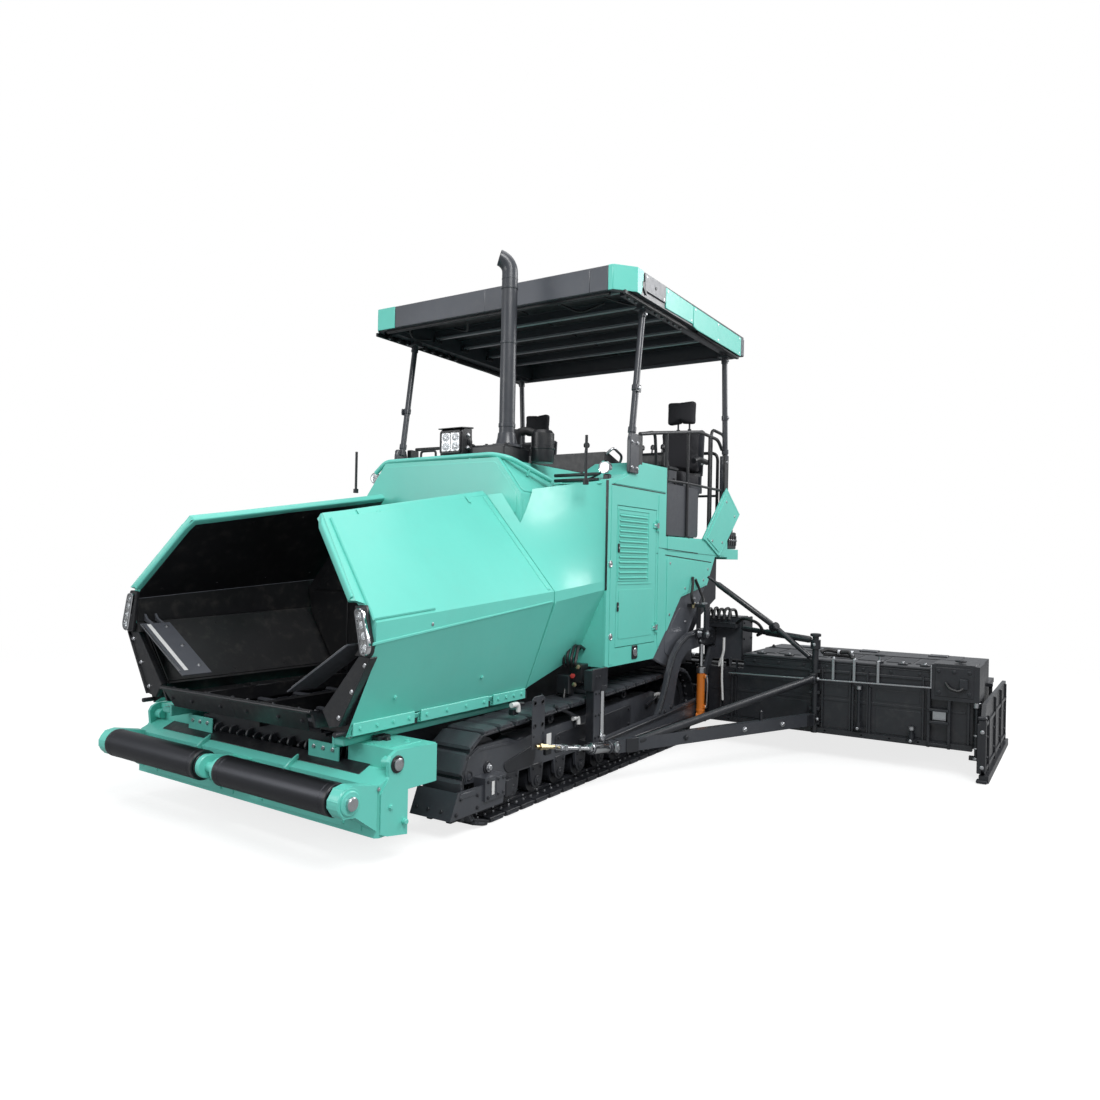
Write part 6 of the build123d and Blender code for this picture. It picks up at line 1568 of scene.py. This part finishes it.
# ---------------------------------------------------------------- screed body and what shows from behind
back = Piece("screed_deck_fittings", "screed", SCREED, STEEL, CAST, ORANGE, HOSE, LABEL, ANTHRACITE,
             both=True)
for k in range(12):
    y = 0.05 + 0.287 * k
    back.box(-3.0, -2.56, y, y + 0.24, 0.619, 0.627, 6, 0.003)
    for j in range(5):
        back.box(-2.96 + 0.085 * j, -2.935 + 0.085 * j, y + 0.02, y + 0.22, 0.626, 0.631, 2, 0.002)
for y0, y1 in ((0.04, 0.76), (0.82, 1.56), (1.64, 2.50), (2.56, 3.46)):
    back.box(-2.552, -2.546, y0 + 0.02, y1 - 0.02, 0.20, 0.58, 0, 0.003)
    for y in (y0 + 0.06, (y0 + y1) / 2, y1 - 0.06):
        for z in (0.24, 0.54):
            back.bolt((-2.552, y, z), -X, 0.012, 2)
    back.box(-3.023, -3.015, y0, y1, 0.56, 0.62, 0, 0.003)
for y in spread(0.1, 3.4, 9):
    back.bolt((-3.014, y, 0.15), -X, 0.010, 2)
back.box(-2.50, -2.10, 0.10, 1.50, 0.638, 0.652, 0, 0.005)
for y in (0.2, 0.6, 1.0, 1.4):
    back.box(-2.46, -2.30, y - 0.07, y + 0.07, 0.652, 0.672, 2, 0.006)
    back.bolt((-2.38, y, 0.672), Z, 0.016, 1)
back.pipe([(-2.20, 0.10, 0.69), (-2.20, 1.50, 0.69)], 0.020, 4, 0.02, 12)
back.pipe([(-2.15, 0.15, 0.675), (-2.15, 1.52, 0.675), (-2.15, 1.66, 0.86)], 0.016, 4, 0.06, 12)
for y in (0.3, 0.8, 1.3):
    back.ring((-2.20, y - 0.015, 0.69), (-2.20, y + 0.015, 0.69), 0.027, 0.019, 1, 16)
back.box(-2.50, -2.10, 1.62, 3.30, 0.838, 0.846, 0, 0.004)
for y in (1.9, 2.5, 3.1):
    back.box(-2.44, -2.30, y - 0.08, y + 0.08, 0.846, 0.856, 6, 0.004)
back.done("black_paint")

spiral = Piece("auger_frame_fittings", "tractor", CAST, STEEL, HOSE, both=True)
spiral.box(-1.80, -1.70, 0.076, 0.092, 0.34, 0.60, 0, 0.004)
for z in (0.36, 0.50, 0.58):
    for x in (-1.78, -1.72):
        spiral.bolt((x, 0.092, z), Y, 0.012, 1)
for y in (0.4, 1.0, 1.8, 2.4):
    spiral.box(-1.79, -1.71, y - 0.02, y + 0.02, 0.618, 0.675, 0, 0.004)
    spiral.bolt((-1.75, y, 0.675), Z, 0.012, 1)
spiral.pipe([(-1.72, 0.10, 0.685), (-1.72, 1.12, 0.685)], 0.010, 2, 0.02, 10)
spiral.cap((-1.75, 2.924, 0.42), Y, [(0, 0.065), (0.012, 0.065), (0.016, 0.05), (0.022, 0.046)], 0, 26)
for k in range(6):
    a = k * math.pi / 3
    spiral.bolt((-1.75 + 0.052 * math.cos(a), 2.934, 0.42 + 0.052 * math.sin(a)), Y, 0.008, 1)
spiral.done("track_black")

tail = Piece("rear_body_fittings", "tractor", CAST, ANTHRACITE, STEEL, HOSE, LENS_RED, MINT, BLACK,
             both=True)
tail.panel("yz", 0.05, 1.10, 1.34, 1.68, -1.91, -1.90, 1, 0.003, 0.03, 4)
for k in range(6):
    tail.box(-1.918, -1.908, 0.18, 0.98, 1.40 + 0.042 * k, 1.42 + 0.042 * k, 6, 0.003)
tail.bolts("yz", ((0.09, 1.37), (0.09, 1.65), (1.06, 1.37), (1.06, 1.65)), -1.91, -X, 0.011, 2)
tail.box(-1.875, -1.85, 0.10, 0.86, 0.72, 1.10, 1, 0.006)
tail.bolts("yz", ((0.14, 0.76), (0.14, 1.06), (0.82, 0.76), (0.82, 1.06)), -1.875, -X, 0.012, 2)
for k in range(3):
    y = 0.25 + 0.22 * k
    tail.pipe([(-1.86, y, 1.08), (-1.95, y, 1.16), (-1.96, y + 0.05, 1.28), (-1.90, y + 0.06, 1.36)],
              0.016, 3, 0.07, 10, 5)
tail.box(-2.012, -1.998, 0.70, 1.15, 1.74, 1.84, 1, 0.003)
for y in (0.80, 0.92, 1.04):
    tail.cap((-2.012, y, 1.79), -X, [(0, 0.040), (0.010, 0.040), (0.018, 0.032), (0.020, 0.015)], 4, 24)
tail.box(-2.010, -1.998, 0.04, 0.60, 1.745, 1.85, 5, 0.003)
# steps up to the platform, on the rear of the machine
for z, d in ((1.34, 0.0), (1.06, 0.05)):
    tail.box(-2.02 + d, -1.90, 0.28, 0.66, z - 0.012, z + 0.012, 1, 0.004)
for y in (0.26, 0.68):
    tail.pipe([(-1.92, y, 1.68), (-2.04, y, 1.60), (-2.02, y, 1.33), (-1.90, y, 1.32)], 0.014, 6, 0.05, 12)
# rear rail of the platform
tail.pipe([(-1.985, 0.30, 1.87), (-1.985, 0.30, 2.75), (-1.985, 1.10, 2.75), (-1.985, 1.10, 1.87)], 0.016,
          6, 0.08, 12, 5)
tail.pipe([(-1.985, 0.31, 2.32), (-1.985, 1.09, 2.32)], 0.012, 6, 0.02, 12)
tail.done("track_black")

guard = Piece("fender_edges", "tractor", GREY, STEEL, both=True)
edge_path = [(-0.372, 1.184, 0.862), (-0.745, 1.184, 0.734), (-1.108, 1.184, 1.024), (-1.478, 1.184, 1.430)]
guard.sweep(edge_path, bar(0.012, 0.006, 0.004, 2), (0, 0, 1), 0)
guard.bolts("xz", ((-0.48, 0.93), (-0.80, 0.86), (-1.05, 1.12), (-1.25, 1.32)), 1.192, Y, 0.012, 1)
guard.plate("xz", [(-0.62, 0.88), (-0.78, 0.80), (-1.06, 1.07), (-1.18, 1.22), (-0.92, 1.25),
                   (-0.62, 1.0)], 1.191, 1.196, 0, 0.002, 0.03, 3)
guard.done("grey_paint")

block = Piece("engine_details", "tractor", CAST, STEEL, both=True)
block.box(-0.10, 0.80, 0.325, 0.345, 1.15, 1.75, 0, 0.01)
for k in range(6):
    x = -0.02 + 0.15 * k
    block.rod((x, 0.20, 1.895), (x, 0.20, 1.93), 0.04, 0, 20, 0.006)
    block.pipe([(x, 0.20, 1.92), (x, 0.34, 1.93), (x, 0.36, 1.80)], 0.010, 1, 0.05)
block.done("cast")

# ---------------------------------------------------------------- stage, light and camera
CLEAR_RADIUS, WHITE_RADIUS = 4.5, 11.0  # between the two the floor fades to white
NEAR_GLOW, SKY_STRENGTH = 0.79, 0.42

bpy.ops.mesh.primitive_plane_add(size=120, location=(0, 0, 0))
floor = bpy.context.object
floor.name = "studio_floor"
floor_mat, tree, shader = new_material("studio_floor")
set_inputs(shader, Base_Color=(0.3, 0.3, 0.3, 1), Roughness=0.9)
bump(tree, shader, noise(tree, 3.0, 5.0), "Fac", 0.03, 0.002)
geo = add_node(tree, "NewGeometry")
reach = add_node(tree, "VectorMath")
reach.operation = "LENGTH"
link(tree, geo, "Position", reach, 0)
far = ramp(tree, reach, "Value", CLEAR_RADIUS, WHITE_RADIUS, 0.0, 1.0)
glow = add_node(tree, "Emission", Strength=1.0)
near_glow = add_node(tree, "Emission", Strength=NEAR_GLOW)
near = add_node(tree, "AddShader")
link(tree, shader, 0, near, 0)
link(tree, near_glow, 0, near, 1)
fade = add_node(tree, "MixShader")
link(tree, far, "Result", fade, "Fac")
link(tree, near, 0, fade, 1)
link(tree, glow, 0, fade, 2)
# the glow shows to the camera and through glass; other rays meet the plain floor
seen_ray = add_node(tree, "LightPath")
direct = add_node(tree, "Math")
direct.operation = "MAXIMUM"
link(tree, seen_ray, "Is Camera Ray", direct, 0)
link(tree, seen_ray, "Is Transmission Ray", direct, 1)
choose = add_node(tree, "MixShader")
link(tree, direct, 0, choose, "Fac")
link(tree, shader, 0, choose, 1)
link(tree, fade, 0, choose, 2)
link(tree, choose, 0, tree.nodes["Material Output"], "Surface")
floor.data.materials.append(floor_mat)
floor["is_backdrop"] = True

# white to the camera, a dimmer and cooler sky to everything else
world = bpy.data.worlds.new("studio")
bpy.context.scene.world = world
world.use_nodes = True
tree = world.node_tree
tree.nodes.clear()
out = add_node(tree, "OutputWorld")
seen = add_node(tree, "Background", Color=(1, 1, 1, 1), Strength=1.0)
sky = add_node(tree, "Background", Color=(0.93, 0.96, 1.0, 1), Strength=SKY_STRENGTH)
ray = add_node(tree, "LightPath")
pick = add_node(tree, "MixShader")
link(tree, ray, "Is Camera Ray", pick, "Fac")
link(tree, sky, 0, pick, 1)
link(tree, seen, 0, pick, 2)
link(tree, pick, 0, out, 0)


def area(name, place, aim, width, height, power):
    light = bpy.data.lights.new(name, "AREA")
    light.shape = "RECTANGLE"
    light.size = width
    light.size_y = height
    light.energy = power
    obj = bpy.data.objects.new(name, light)
    bpy.context.scene.collection.objects.link(obj)
    obj.location = place
    obj.rotation_mode = "QUATERNION"
    obj.rotation_quaternion = (Vector(aim) - Vector(place)).to_track_quat("-Z", "Y")
    obj.visible_camera = False
    obj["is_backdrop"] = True


area("key_light", (5.5, 6.5, 8.5), (0.3, 0, 1.2), 5, 4, 650)
area("fill_light", (9.0, -4.5, 4.0), (0.5, 0, 1.2), 5, 4, 210)
area("rear_light", (-6.0, 6.5, 6.0), (-1.0, 0, 1.2), 5, 4, 360)
area("top_light", (0.0, 0.0, 9.0), (0, 0, 0), 9, 7, 260)

camera = bpy.data.objects.new("camera", bpy.data.cameras.new("camera"))
bpy.context.scene.collection.objects.link(camera)
bpy.context.scene.camera = camera
yaw, pitch, roll = math.radians(212.80), math.radians(0.148), math.radians(1.155)
forward = Vector((math.cos(yaw) * math.cos(pitch), math.sin(yaw) * math.cos(pitch), math.sin(pitch)))
right = forward.cross(Z).normalized()
up = right.cross(forward)
right_rolled = math.cos(roll) * right + math.sin(roll) * up
up_rolled = math.cos(roll) * up - math.sin(roll) * right
turn = Matrix((right_rolled, up_rolled, -forward)).transposed().to_4x4()
camera.matrix_world = Matrix.Translation((5.988, 4.273, 1.649)) @ turn
camera.data.lens = 27.65
camera.data.sensor_width = 36
camera.data.shift_y = 0.0070
camera.data.clip_start = 0.05
camera.data.clip_end = 200
bpy.context.scene.view_settings.view_transform = "Standard"

low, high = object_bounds()
